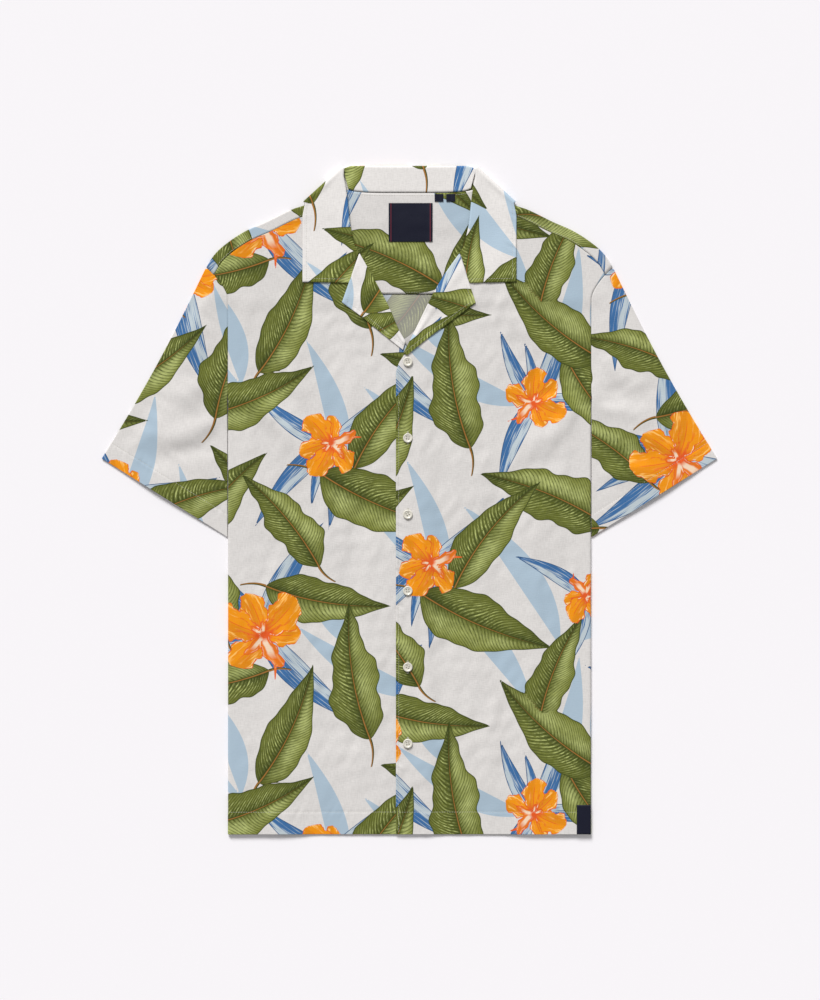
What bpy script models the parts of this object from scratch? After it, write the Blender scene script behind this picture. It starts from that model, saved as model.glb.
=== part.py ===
"""A short-sleeved camp-collar shirt, buttoned and laid flat on its back.

All sizes are in millimetres and are scaled to metres where a mesh is made. +X is the viewer's
right, +Y runs from the hem to the collar, and +Z is up from the surface that the shirt lies on.
Every cloth piece is a sheet of points down the middle of its wall, which is then given its
thickness. The sides of the body are folded behind it, as a shop folds a shirt to show it.
"""

import math

import bmesh
import bpy
import numpy as np

MM = 0.001

# Cloth
WALL = 1.0
GAP = 0.3
STEP = WALL + GAP  # from the middle of one layer to the middle of the next

# Body
HEM_Y = -390.8
FOLD_X = 212.4  # the straight side edges, where the body is folded behind
FLAP_WIDE = 62.0  # the width of the folded part
FLAP_TOP_Y = 117.0  # where the fold begins, below the armhole seam
FLAP_FULL_Y = 42.0  # the underarm, from which the folded part has its full width
FLAP_LEAST = 4.0  # its width at the very top
RISE_EASE = 45.0  # how far above it the cloth comes down to the layer below
FLAP_EASE = 44.0  # the strip over which the cloth comes down beside the folded part
ARMHOLE_Y = 235.0  # above this the armhole seam leans out to the shoulder point
SHOULDER_X = 237.4
SHOULDER_Y = 272.0
YOKE_SEAM_Y = 241.0
YOKE_STRIP = 12.0  # what shows of the yoke in front of the shoulder fold
CROWN = 0.9  # air between front and back in the middle

# Front edges and buttons
LAP_EDGE_X = -15.8
UNDERLAP_X = 14.0
LAP_EASE = 20.0
BREAK_Y = 150.0
BUTTON_X = -2.0
BUTTON_TOP_Y = 161.6
BUTTON_PITCH = 89.2
BUTTON_COUNT = 6
BUTTON_RADIUS = 5.6
BUTTON_THICK = 2.2
BUTTON_SIDES = 16

# Neck and collar
NECK_Y = 358.9
NECK_POINT_X = 82.0
NECK_POINT_Y = 365.5
ROLL_TOP_Y = 390.8
ROLL_CORNER_X = 78.7
FALL_EDGE_Y = 331.0
NOTCH = (70.2, 253.6)
COLLAR_POINT = (125.0, 254.6)
CORNER_FOLD_END = (124.0, 348.6)  # where the collar's outer edge passes over the shoulder
LEG_APART = 2.6  # between the two legs of the folded collar
CORNER_ALONG = 2.2  # from the corner of the roll to the fold over the shoulder, along its edge
CORNER_IN = 0.6  # and in from it
CORNER_ROLL_RADIUS = 3.5  # of the fold over the shoulder, at the roll
CORNER_ROLL_Z = 4.0
CORNER_EDGE_RADIUS = 2.9  # of the same fold, at the collar's outer edge
CORNER_EDGE_Z = 3.4
CORNER_STAND_RADIUS = 1.0  # of the stand inside it
CORNER_STAND_Z = 3.9
CORNER_NECK_X = (71.5, 80.3)  # the stand's foot, from the back's last row to the front's first
CORNER_NECK_IN = 1.8

# Sleeve
CUFF_TIP = (360.0, 48.3)
CUFF_INNER_Y = -43.5
SLEEVE_HOLLOW = 4.0  # how far the upper edge bends in from a straight line

# Labels
LABEL_X = (-24.3, 26.9)
LABEL_Y = (301.9, 347.0)
SIZE_TAB_X = ((29.4, 39.5), (43.1, 53.2))
SIZE_TAB_Y = (348.6, 357.6)
LABEL_CLEAR = 0.15
SIDE_TAB_WIDE = 17.0
SIDE_TAB_TALL = 34.5

# The shoulder fold seen from above: x, y and the lean of the seam lines that cross it, in degrees
# from straight down, positive towards the sleeve.
SHOULDER_LINE = np.array(
    [
        (NECK_POINT_X, NECK_POINT_Y, 10.0),
        (92.0, 360.5, -8.0),
        (110.0, 350.6, -24.0),
        (124.0, 343.8, -26.0),
        (136.0, 340.0, -26.0),
        (168.8, 324.4, -25.5),
        (191.3, 314.4, -28.0),
        (217.3, 297.0, -38.0),
        (228.5, 286.0, -43.0),
        (237.4, 272.0, -44.5),
    ]
)

# The hidden neck edge of the fronts, from the shoulder seam to the gorge: x, y.
FRONT_NECK = np.array([(86.5, 345.0), (85.5, 328.9), (77.0, 303.5), (62.0, 287.3)])

# The folds where the lapels turn back, from the break up to the gorge: x, y.
ROLL_LEFT = np.array(
    [(14.0, 150.0), (-2.2, 181.2), (-13.0, 200.3), (-22.6, 223.0), (-39.9, 255.9), (-58.0, 288.0)]
)
ROLL_RIGHT = np.array(
    [(-15.8, 150.0), (-10.6, 165.0), (6.1, 198.0), (26.3, 239.0), (41.5, 264.8), (58.0, 288.0)]
)

# The lower edges of the lapels, from the break out to the tip: x, y.
LAPEL_LEFT = np.array([(-7.6, 175.4), (-33.3, 195.5), (-56.0, 214.0), (-79.0, 231.0)])
LAPEL_RIGHT = np.array([(-3.2, 168.9), (24.0, 190.8), (50.2, 209.9), (77.5, 230.0)])


def smooth(start, end, value):
    """0 before start, 1 past end, and an eased rise between them."""
    share = np.clip((np.asarray(value, float) - start) / (end - start), 0.0, 1.0)
    return share * share * (3.0 - 2.0 * share)


def layer(count):
    """The middle of the wall that has this many layers under it."""
    return WALL / 2 + count * STEP


def on_line(line, shares):
    """Points at these shares of a polyline's length."""
    line = np.asarray(line, float)
    lengths = np.concatenate([[0], np.cumsum(np.linalg.norm(np.diff(line, axis=0), axis=1))])
    at = np.asarray(shares, float) * lengths[-1]
    return np.stack([np.interp(at, lengths, line[:, k]) for k in range(line.shape[1])], axis=-1)


def shares_at_corners(line, between):
    """Shares of a polyline's length with every corner and some points between corners."""
    lengths = np.concatenate([[0], np.cumsum(np.linalg.norm(np.diff(line, axis=0), axis=1))])
    corners = lengths / lengths[-1]
    steps = np.linspace(0, 1, between + 1)[1:]
    runs = [a + (b - a) * steps for a, b in zip(corners, corners[1:])]
    return np.concatenate([[0.0], *runs])


# Heights of the middle of each wall

def flap_width(y):
    """How far the folded-back part of the body reaches in from the side edge."""
    rise = np.clip((FLAP_TOP_Y - np.asarray(y, float)) / (FLAP_TOP_Y - FLAP_FULL_Y), 0.0, 1.0)
    return FLAP_LEAST + (FLAP_WIDE - FLAP_LEAST) * np.sqrt(1.0 - (1.0 - rise) ** 2)


def over_flap(x, y):
    """1 where the panels lie over the folded-back part."""
    edge = FOLD_X - flap_width(np.asarray(y, float) - 8.0) - 3.0
    return smooth(edge - FLAP_EASE, edge, np.abs(x)) * smooth(FLAP_TOP_Y + RISE_EASE, FLAP_TOP_Y, y)


def over_fall(x, y):
    """1 where the yoke lies over the back of the collar."""
    x = np.abs(x)
    edge = FALL_EDGE_Y + 14.0 * smooth(55, 122, x) - 3.0
    return smooth(edge - 30, edge, y) * smooth(160, 128, x)


def crown(x, y):
    """Air under the front, none at its edges."""
    x = np.abs(x)
    return CROWN * smooth(150, 60, x) * smooth(HEM_Y + 10, HEM_Y + 120, y) * smooth(230, 90, y)


def back_height(x, y):
    return layer(0) + 2 * STEP * over_flap(x, y) + STEP * over_fall(x, y)


def front_height(x, y):
    over_lining = smooth(YOKE_SEAM_Y - 24, YOKE_SEAM_Y - 3, y)
    return back_height(x, y) + STEP + STEP * over_lining + crown(x, y)


def lap_lift(x, y):
    """How far the viewer's right front is raised where it laps over the other one."""
    return STEP * smooth(UNDERLAP_X + 3 + LAP_EASE, UNDERLAP_X + 3, x)


def right_height(x, y):
    return front_height(x, y) + lap_lift(x, y)


# Outlines

def armhole_x(y):
    """The armhole seam, straight at first and then leaning out to the shoulder point."""
    rise = np.clip((np.asarray(y, float) - ARMHOLE_Y) / (SHOULDER_Y - ARMHOLE_Y), 0.0, 1.0)
    return FOLD_X + (SHOULDER_X - FOLD_X) * rise**1.6


def neck_y(x):
    """The back neck seam."""
    return NECK_Y + (NECK_POINT_Y - NECK_Y) * (np.abs(x) / NECK_POINT_X) ** 5


def shoulder(x):
    """The shoulder fold at this x: its y, and the direction of the lines that cross it."""
    y = np.interp(x, SHOULDER_LINE[:, 0], SHOULDER_LINE[:, 1])
    lean = np.radians(np.interp(x, SHOULDER_LINE[:, 0], SHOULDER_LINE[:, 2]))
    return y, np.sin(lean), -np.cos(lean)


def shoulder_seam():
    """The forward shoulder seam, below the yoke's strip, from the neck to the sleeve."""
    xs = SHOULDER_LINE[:, 0]
    y, dx, dy = shoulder(xs)
    down = YOKE_STRIP + GAP
    return np.stack([xs + down * dx, y + down * dy], axis=1)


# Meshes

def add_object(name, points, faces, look):
    """A named object with one material, its faces triangulated and pointing out."""
    mesh = bpy.data.meshes.new(name)
    mesh.from_pydata((np.asarray(points, float) * MM).tolist(), [], faces)
    work = bmesh.new()
    work.from_mesh(mesh)
    bmesh.ops.triangulate(work, faces=work.faces[:])
    bmesh.ops.recalc_face_normals(work, faces=work.faces[:])
    work.to_mesh(mesh)
    work.free()
    mesh.shade_smooth()
    mesh.set_sharp_from_angle(angle=math.radians(40))
    mesh.materials.append(look)
    made = bpy.data.objects.new(name, mesh)
    bpy.context.scene.collection.objects.link(made)
    return made


def grid_cells(rows, columns, ring=False, keep=None, two_sided=False):
    """Pairs of triangles between the points of a grid, split one way, or mirrored about its middle."""
    cells = []
    for i in range(rows - 1):
        for j in range(columns if ring else columns - 1):
            if keep is None or keep(i, j):
                k = (j + 1) % columns
                a, b = i * columns + j, i * columns + k
                c, d = a + columns, b + columns
                if two_sided and j < columns // 2:
                    cells += [(a, b, c), (b, d, c)]
                else:
                    cells += [(a, b, d), (a, d, c)]
    return cells


def sheet(name, middle, look, ring=False, keep=None, two_sided=False, wall=WALL):
    """A closed solid, one wall thick, about a grid of points down its middle."""
    rows, columns = middle.shape[:2]
    points = middle.reshape(-1, 3)
    cells = grid_cells(rows, columns, ring, keep, two_sided)
    normals = np.zeros_like(points)
    for cell in cells:
        for k in range(3):
            before, here, after = cell[k - 1], cell[k], cell[(k + 1) % 3]
            turn = np.cross(points[after] - points[here], points[before] - points[here])
            size = np.linalg.norm(turn)
            if size > 1e-9:
                normals[here] += turn / math.sqrt(size)
    lengths = np.linalg.norm(normals, axis=1)
    used = lengths > 0
    normals[used] /= lengths[used, None]
    number = np.cumsum(used) - 1
    count = int(used.sum())
    upper = points[used] + normals[used] * wall / 2
    lower = points[used] - normals[used] * wall / 2
    front = [tuple(int(number[p]) for p in cell) for cell in cells]
    back = [tuple(p + count for p in reversed(cell)) for cell in front]
    directed = {(cell[k], cell[(k + 1) % 3]) for cell in front for k in range(3)}
    rims = [(b, a, a + count, b + count) for a, b in directed if (b, a) not in directed]
    return add_object(name, np.concatenate([upper, lower]), front + back + sorted(rims), look)


def fold_rise(inward, radius):
    """Half the height of a folded edge, this far in from its outermost point."""
    short = np.maximum(0.0, radius - np.asarray(inward, float))
    return np.sqrt(np.maximum(0.0, radius**2 - short**2))


# Pieces

TURN_STEPS = 5
FLAP_SHARES = (0.15, 0.55, 1.0)
FOLD_START = FOLD_X - WALL / 2 - (layer(3) - layer(0)) / 2  # where a panel begins to turn under
FOLD_MIDDLE = (layer(3) + layer(0)) / 2
FOLDED_CELLS = TURN_STEPS - 1 + len(FLAP_SHARES)
LOW_ROWS = 6
SEAM_ROWS = (ARMHOLE_Y, YOKE_SEAM_Y, 248.0, 255.5)  # up the leaning part of the armhole
FLAP_ROWS = (36.0, 52.0, 68.0, 84.0, 98.0, 109.0, FLAP_TOP_Y)
ARMHOLE_ROWS = (126.0, 138.0, 151.0, FLAP_TOP_Y + RISE_EASE)
ROLL_INSET = 2.2  # from a lapel's fold to the front's own edge inside it
SIDE_COLUMNS = (88.0, 103.0, 114.0, 125.0, 136.0, 147.0, 164.0, 184.0)
FRONT_COLUMNS = (0.0, 17.0, 27.0, 37.0, 62.0, *SIDE_COLUMNS)
BACK_COLUMNS = (0.0, 50.0, *SIDE_COLUMNS)


def panel_line(y, inner, outer, top, radius, columns):
    """One row of a body panel, from its inner edge out to the side and round behind it."""
    columns = np.asarray(columns, float)
    share = (columns - columns[0]) / (FOLD_START - columns[0])
    angle = np.append(np.linspace(0, math.pi, TURN_STEPS + 1)[1:], [math.pi] * len(FLAP_SHARES))
    past = np.zeros(len(angle))
    past[TURN_STEPS:] = (float(flap_width(y)) - (FOLD_X - FOLD_START)) * np.array(FLAP_SHARES)
    start = FOLD_START if y <= FLAP_TOP_Y else min(FOLD_START, outer - 2.0)
    flat = inner + (start - inner) * np.append(share, 1.0)
    xs = np.concatenate([flat, FOLD_START + radius * np.sin(angle) - past])
    zs = np.concatenate([top(flat, y), FOLD_MIDDLE + radius * np.cos(angle)])
    if y > FLAP_TOP_Y:
        xs[len(flat)] = outer
        zs[len(flat)] = top(outer, y)
    return np.stack([xs, np.full_like(xs, y), zs], axis=1)


def panel_cells(both_sides, columns, folded):
    """A test for the cells of a body panel: its turn and folded part end below the armhole."""
    top_row = list(low_rows()).index(FLAP_TOP_Y)

    def keep(i, j):
        in_turn = j >= columns - 1 - folded or (both_sides and j < folded)
        return i < top_row or not in_turn

    return keep


def low_rows():
    return np.concatenate([np.linspace(HEM_Y, -30, LOW_ROWS), FLAP_ROWS, ARMHOLE_ROWS])


def make_back(look):
    """The back panel, hem to yoke seam, with both sides turned under the fronts' sides."""
    radius = (layer(2) - layer(1)) / 2
    rows = []
    for y in np.concatenate([low_rows(), [200, ARMHOLE_Y, YOKE_SEAM_Y - GAP / 2]]):
        half = panel_line(y, 0.0, float(armhole_x(y)), back_height, radius, BACK_COLUMNS)
        mirrored = half[:0:-1] * [-1, 1, 1]
        rows.append(np.concatenate([mirrored, half]))
    keep = panel_cells(True, len(rows[0]), FOLDED_CELLS)
    return sheet("back_panel", np.array(rows), look, keep=keep, two_sided=True)


def front_inner_x(y, edge, roll):
    """The front's inner edge: down the buttons, up the lapel's fold, then under the collar."""
    if y <= BREAK_Y:
        return edge
    if y < FRONT_NECK[-1, 1]:
        inset = ROLL_INSET * float(smooth(BREAK_Y + 8, BREAK_Y + 20, y))
        return float(np.interp(y, roll[:, 1], roll[:, 0])) + inset
    neck = FRONT_NECK[::-1]
    return float(np.interp(y, neck[:, 1], neck[:, 0]))


def front_outer_x(y):
    """The front's outer edge: side, armhole, and the shoulder seam under the yoke's strip."""
    seam = shoulder_seam()[::-1]
    return float(min(armhole_x(y), np.interp(y, seam[:, 1], seam[:, 0])))


def make_front(name, side, edge, roll, height, look):
    """A front, hem to shoulder seam, with its side turned under the back's side."""
    radius = (layer(3) - layer(0)) / 2
    seam_ys = shoulder_seam()[:1:-1, 1]
    high = np.concatenate([[170, 184, 198, 213, 226], SEAM_ROWS, seam_ys, [FRONT_NECK[0, 1]]])
    columns = (side * edge, *FRONT_COLUMNS)
    rows = []
    for y in np.concatenate([low_rows(), high]):
        inner = front_inner_x(y, side * edge, roll * [side, 1])
        line = panel_line(
            y, inner, front_outer_x(y), lambda x, y: height(side * x, y), radius, columns
        )
        rows.append(line * [side, 1, 1])
    keep = panel_cells(False, len(rows[0]), FOLDED_CELLS)
    return sheet(name, np.array(rows), look, keep=keep)


YOKE_ROWS = (0.0, 0.35, 0.58, 0.72, 0.86)  # shares of the way from the seam up to the shoulder
FOLD_ROWS = (-13.0, -6.0, -2.6, -STEP, -0.4, 0.0, 0.4, STEP, 4.0, YOKE_STRIP)
NECK_COLUMNS = (0.0, 24.0, 46.0, 62.0, 72.0, 78.0)


def yoke_plan(x):
    """The points of one line of the yoke seen from above, from its seam to its far edge."""
    y, dx, dy = shoulder(x) if x >= NECK_POINT_X else (neck_y(x) - GAP, 0.0, -1.0)
    foot = np.array([x / SHOULDER_X * float(armhole_x(YOKE_SEAM_Y)), YOKE_SEAM_Y + GAP / 2])
    knee = np.array([x + abs(FOLD_ROWS[0]) * dx, y + abs(FOLD_ROWS[0]) * dy])
    flat = foot + (knee - foot) * np.array(YOKE_ROWS)[:, None]
    flat[:, 0] = np.minimum(flat[:, 0], armhole_x(flat[:, 1]) * x / SHOULDER_X)
    turn = [(x + abs(q) * dx, y + abs(q) * dy) for q in FOLD_ROWS]
    return np.concatenate([flat, turn])


def yoke_columns():
    return np.concatenate([NECK_COLUMNS, [NECK_POINT_X, 86.0], SHOULDER_LINE[1:, 0]])


def make_yoke(look):
    """The outer yoke: under everything at the back, and folded over the shoulders to the front."""
    columns = yoke_columns()
    half = []
    for x in columns:
        plan = yoke_plan(x)
        rise = np.zeros(len(plan))
        if x >= NECK_POINT_X:
            turn = np.array(FOLD_ROWS)
            rise[len(YOKE_ROWS):] = STEP + np.sign(turn) * fold_rise(np.abs(turn), STEP)
        half.append(np.column_stack([plan, back_height(plan[:, 0], plan[:, 1]) + rise]))
    half = np.array(half).transpose(1, 0, 2)
    middle = np.concatenate([half[:, :0:-1] * [-1, 1, 1], half], axis=1)
    centre = len(columns) - 1
    fold_row = len(YOKE_ROWS) + FOLD_ROWS.index(0.0)

    def keep(i, j):
        nearest = min(abs(j - centre), abs(j + 1 - centre))
        return i < fold_row or nearest >= len(NECK_COLUMNS)

    return sheet("yoke_back", middle, look, keep=keep, two_sided=True)


LINING_INSET = 1.7  # between the lining's edge and the shoulder fold that it lies in


def make_lining(look):
    """The inner yoke, which shows inside the neck: the outer one's points, one layer up."""
    half = []
    for x in yoke_columns():
        plan = yoke_plan(x)[: len(YOKE_ROWS) + FOLD_ROWS.index(-STEP)]
        last, before = yoke_plan(x)[len(YOKE_ROWS) + FOLD_ROWS.index(0.0)], plan[-1]
        inset = LINING_INSET if x > NECK_COLUMNS[-1] else 0.0
        end = last + (before - last) / np.linalg.norm(before - last) * inset
        plan = np.concatenate([plan, [end]])
        half.append(np.column_stack([plan, back_height(plan[:, 0], plan[:, 1]) + STEP]))
    half = np.array(half).transpose(1, 0, 2)
    middle = np.concatenate([half[:, :0:-1] * [-1, 1, 1], half], axis=1)
    return sheet("yoke_lining", middle, look, two_sided=True)


def patch(low, high, left, right, downs, acrosses):
    """Points of a four-sided patch between curves low and high, and left and right."""
    u = np.asarray(downs)[:, None, None]
    v = np.asarray(acrosses)[None, :, None]
    first, last = on_line(low, acrosses)[None], on_line(high, acrosses)[None]
    near, far = on_line(left, downs)[:, None], on_line(right, downs)[:, None]
    corners = (1 - u) * ((1 - v) * first[:, :1] + v * first[:, -1:])
    corners = corners + u * ((1 - v) * last[:, :1] + v * last[:, -1:])
    return (1 - u) * first + u * last + (1 - v) * near + v * far - corners


SLEEVE_SHARES = (0.08, 0.2, 0.4, 0.6, 0.78, 0.92)
SLEEVE_NEAR = np.radians([0.0, 45.0, 90.0])  # turns of the inner fold, from its outermost point
SLEEVE_FAR = np.radians([90.0, 45.0, 0.0])
SLEEVE_OPEN = (0.0, 0.0, 0.03)  # the same columns where the sleeve is open to the body
SLEEVE_EASE = 34.0  # how far from its seam a sleeve has come down to its own height
SLEEVE_ROWS = (
    268.5, 263.2, *SEAM_ROWS[::-1], 200.0, *ARMHOLE_ROWS[::-1], FLAP_TOP_Y,
    104.0, 90.0, 74.0, 30.0, CUFF_INNER_Y,
)  # the y of each row's inner end


def sleeve_seam_height(y):
    """The heights of the sleeve's upper and lower walls at its inner end."""
    down = smooth(FLAP_TOP_Y, FLAP_TOP_Y - 40, y)
    high = front_height(FOLD_X, max(y, FLAP_TOP_Y))
    low = back_height(FOLD_X, max(y, FLAP_TOP_Y)) - STEP * smooth(FLAP_TOP_Y + RISE_EASE, FLAP_TOP_Y, y)
    return high + (layer(1) - high) * down, low + (layer(0) - low) * down


def sleeve_outer_edge():
    """The fold along the top of the sleeve, from the shoulder point to the cuff's tip."""
    start = np.array([SHOULDER_X + GAP + 0.2, SHOULDER_Y - GAP])
    along = np.array(CUFF_TIP) - [WALL / 2, 0] - start
    inward = np.array([along[1], -along[0]]) / np.linalg.norm(along)
    shares = np.linspace(0, 1, 13)[:, None]
    return start + shares * along + SLEEVE_HOLLOW * np.sin(math.pi * shares) * inward


def sleeve_row(y, outer):
    """One ring of the sleeve: its upper wall out to the fold, and its lower wall back."""
    seam_gap = GAP if y <= ARMHOLE_Y else 1.4 * GAP
    near = np.array([float(armhole_x(y)) + seam_gap, y])
    far = on_line(outer, [(SHOULDER_Y - y) / (SHOULDER_Y - CUFF_INNER_Y)])[0]
    length = float(np.linalg.norm(far - near))
    near_high, near_low = sleeve_seam_height(y)
    near_radius, far_radius = (near_high - near_low) / 2, STEP / 2
    begins = length * np.array(SLEEVE_OPEN)
    near_rise = np.array([0.0, 1.0, 1.0])
    if y <= FLAP_TOP_Y:
        begins = WALL / 2 + near_radius * (1 - np.cos(SLEEVE_NEAR))
        near_rise = np.sin(SLEEVE_NEAR)
    ends = length - far_radius * (1 - np.cos(SLEEVE_FAR))
    middle = begins[-1] + (ends[0] - begins[-1]) * np.array(SLEEVE_SHARES)
    at = np.concatenate([begins, middle, ends])
    spots = near + (far - near) * (at / length)[:, None]
    ease = 1 - smooth(0, min(SLEEVE_EASE, 0.9 * length), at)
    high = layer(1) + (near_high - layer(1)) * ease + CROWN * np.sin(math.pi * at / length) ** 2
    low = layer(0) + (near_low - layer(0)) * ease
    rise = np.concatenate([near_rise, np.ones(len(middle)), np.sin(SLEEVE_FAR)])
    rise = rise * (high - low) / 2
    upper = np.column_stack([spots, (high + low) / 2 + rise])
    lower = np.column_stack([spots, (high + low) / 2 - rise])
    return np.concatenate([upper, lower[-2:0:-1]])


def make_sleeve(name, side, look):
    """A flat tube in rows from the shoulder point to the cuff.

    Its inner end is open along the armhole seam and closed by a fold below it.
    """
    outer = sleeve_outer_edge()
    rows = np.array([sleeve_row(y, outer) for y in SLEEVE_ROWS]) * [side, 1, 1]
    closed_row, seam_columns = SLEEVE_ROWS.index(FLAP_TOP_Y), (0, rows.shape[1] - 1)

    def keep(i, j):
        return j not in seam_columns or i >= closed_row

    return sheet(name, rows, look, ring=True, keep=keep)


# The back half of the collar, by its roll: x of the roll, x and y of the edge that lies under the
# yoke, and the height of the upper leg beside the roll.
COLLAR_BACK = np.array(
    [
        (0.0, 0.0, FALL_EDGE_Y, 4.6),
        (20.0, 20.0, FALL_EDGE_Y, 4.6),
        (40.0, 42.0, 331.2, 4.3),
        (56.0, 64.0, 332.2, 3.8),
        (67.0, 86.0, 336.0, 3.2),
    ]
)
COLLAR_TURNS = (90.0, 50.0, 15.0, -15.0, -50.0, -90.0)  # degrees about the fold over the shoulder
# The front half's fold, down to the gorge, and the stand's own edge beside it: x and y of the fold
# and of the edge.
COLLAR_ROLL = np.array(
    [
        (78.4, 379.0, 80.6, 366.6),
        (76.4, 368.0, 80.9, 364.0),
        (74.7, 357.0, 82.6, 355.0),
        (73.0, 343.0, 85.0, 343.0),
        (71.4, 326.0, 83.3, 326.0),
        (68.1, 310.0, 77.6, 310.0),
        (65.7, 299.0, 71.4, 299.5),
        (59.3, 288.2, 60.4, 289.6),
    ]
)
STAND_SHARES = (0.0, 0.5, 1.0)
LEAF_SHARES = (0.0, 0.08, 0.2, 0.407, 0.6, 0.8, 1.0)
ROLL_ARC = (36.0, 72.0, 108.0, 144.0)


def roll_arc(stand_end, leaf_start, away):
    """The half turn from the stand's leg to the leaf's, bulging away from both."""
    centre = (stand_end + leaf_start) / 2
    reach = (stand_end - leaf_start) / 2
    radius = np.linalg.norm(reach)
    away = np.array([away[0], away[1], 0.0])
    away = away / np.linalg.norm(away)
    turns = np.radians(ROLL_ARC)
    return [centre + reach * math.cos(t) + away * radius * math.sin(t) for t in turns]


def collar_half():
    """The rows of the collar from the middle of the back round to the gorge."""
    rows = []
    for roll_x, edge_x, edge_y, height in COLLAR_BACK:
        y = ROLL_TOP_Y - WALL / 2 - (height - layer(0)) / 2
        stand_end = np.array([roll_x, y, height])
        leaf_start = np.array([roll_x, y, layer(0)])
        neck = np.array([roll_x * 0.97, neck_y(roll_x * 0.97) + 2 * GAP, layer(2)])
        edge = np.array([edge_x, edge_y, layer(0)])
        stand = [neck + (stand_end - neck) * s for s in STAND_SHARES]
        leaf = [leaf_start + (edge - leaf_start) * s for s in LEAF_SHARES]
        rows.append(stand + roll_arc(stand_end, leaf_start, (0, 1)) + leaf)
    along = np.array(CORNER_FOLD_END) - np.array([ROLL_CORNER_X, ROLL_TOP_Y])
    along = along / np.linalg.norm(along)
    inward = np.array([along[1], -along[0]])
    corner = np.array([ROLL_CORNER_X, ROLL_TOP_Y]) + CORNER_ALONG * along + CORNER_IN * inward
    fold_end = np.array(CORNER_FOLD_END)
    stand_in = CORNER_ROLL_RADIUS - 0.1
    for turn in COLLAR_TURNS:
        up, out = math.sin(math.radians(turn)), math.cos(math.radians(turn))
        roll_spot = corner + inward * CORNER_ROLL_RADIUS * (1 - out)
        leaf_start = np.array([*roll_spot, CORNER_ROLL_Z - CORNER_ROLL_RADIUS * up])
        edge_spot = fold_end + inward * CORNER_EDGE_RADIUS * (1 - out)
        edge = np.array([*edge_spot, CORNER_EDGE_Z - CORNER_EDGE_RADIUS * up])
        stand_spot = corner + inward * (stand_in - CORNER_STAND_RADIUS * out)
        stand_end = np.array([*stand_spot, CORNER_STAND_Z - CORNER_STAND_RADIUS * up])
        share = (90.0 - turn) / 180.0
        neck_x = CORNER_NECK_X[0] + (CORNER_NECK_X[1] - CORNER_NECK_X[0]) * share
        neck = np.array([neck_x, neck_y(neck_x) + CORNER_NECK_IN, layer(2) + STEP * share**2])
        stand = [neck + (stand_end - neck) * s for s in STAND_SHARES]
        leaf = [leaf_start + (edge - leaf_start) * s for s in LEAF_SHARES]
        rows.append(stand + roll_arc(stand_end, leaf_start, -along) + leaf)
    first_leaf = np.array(rows[-1][-len(LEAF_SHARES):])[:, :2]
    roll = np.concatenate([first_leaf[:1], COLLAR_ROLL[:, :2]])
    outer = [first_leaf[-1], (125.0, 332.0), COLLAR_POINT]
    lower = [roll[-1], np.array(NOTCH) + [0.4, 0.0], COLLAR_POINT]
    downs = shares_at_corners(roll, 1)[1:]
    plan = patch(first_leaf, lower, roll, outer, downs, LEAF_SHARES)
    for spots, neck, down in zip(plan, COLLAR_ROLL[:, 2:], downs):
        apart = LEG_APART - (LEG_APART - STEP - 0.2) * smooth(0.5, 1.0, down)
        rest = front_height(spots[:, 0], spots[:, 1]) + STEP + 0.1
        run = np.linalg.norm(spots - spots[0], axis=1)
        base = float(front_height(*spots[0]) + 0.5 * smooth(357, 379, spots[0][1]))
        heights = rest + (base + apart - rest[0]) * (1 - smooth(0, 26, run))
        leaf = [np.array([*spot, z]) for spot, z in zip(spots, heights)]
        stand_end = np.array([*spots[0], base])
        foot = np.array([*neck, float(front_height(*neck))])
        stand = [foot + (stand_end - foot) * s for s in STAND_SHARES]
        rows.append(stand + roll_arc(stand_end, leaf[0], (-1, 0)) + leaf)
    return np.array(rows)


def make_collar(look):
    """The collar, one folded sheet from gorge to gorge round the back of the neck."""
    half = collar_half()
    middle = np.concatenate([half[:0:-1] * [-1, 1, 1], half])
    centre = len(half) - 1
    cut_from, cut_to = len(COLLAR_BACK), len(COLLAR_BACK) + len(COLLAR_TURNS) + 1

    def keep(i, j):
        row = i - centre if i >= centre else centre - 1 - i
        has_stand = not cut_from <= row < cut_to and row < centre - 1
        return has_stand or j >= len(STAND_SHARES) - 1

    return sheet("collar", middle, look, keep=keep)


LAPEL_ACROSS = (0.2, 0.45, 0.72, 1.0)
LAPEL_EASE = 0.05  # added to the radius of its fold


def make_lapel(name, side, roll, edge, height, look):
    """A turned-back lapel, with its inner edge curled round the front's edge."""
    roll, edge = roll * [side, 1], edge * [side, 1]
    downs = shares_at_corners(edge, 3)
    plan = patch([roll[0], edge[0]], [roll[-1], edge[-1]], roll, edge, downs, (0.0, *LAPEL_ACROSS))
    slope = np.gradient(plan[:, 0], axis=0)
    normal = np.stack([slope[:, 1], -slope[:, 0]], axis=1)
    normal /= np.linalg.norm(normal, axis=1)[:, None]
    radius = STEP / 2 + LAPEL_EASE
    rows = []
    for start, outward, across in zip(plan[:, 0], normal, plan[:, 1:]):
        points = []
        for turn in np.radians([-90.0, -30.0, 30.0, 90.0]):
            spot = start + outward * (WALL / 2 + radius * (1 - math.cos(turn)))
            points.append((*spot, height(side * spot[0], spot[1]) + radius * (1 + math.sin(turn))))
        for spot, share in zip(across, LAPEL_ACROSS):
            spot = spot + outward * (WALL / 2 + radius) * (1 - share)
            points.append((*spot, height(side * spot[0], spot[1]) + 2 * radius))
        rows.append(np.array(points, float) * [side, 1, 1])
    return sheet(name, np.array(rows), look)


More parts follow.
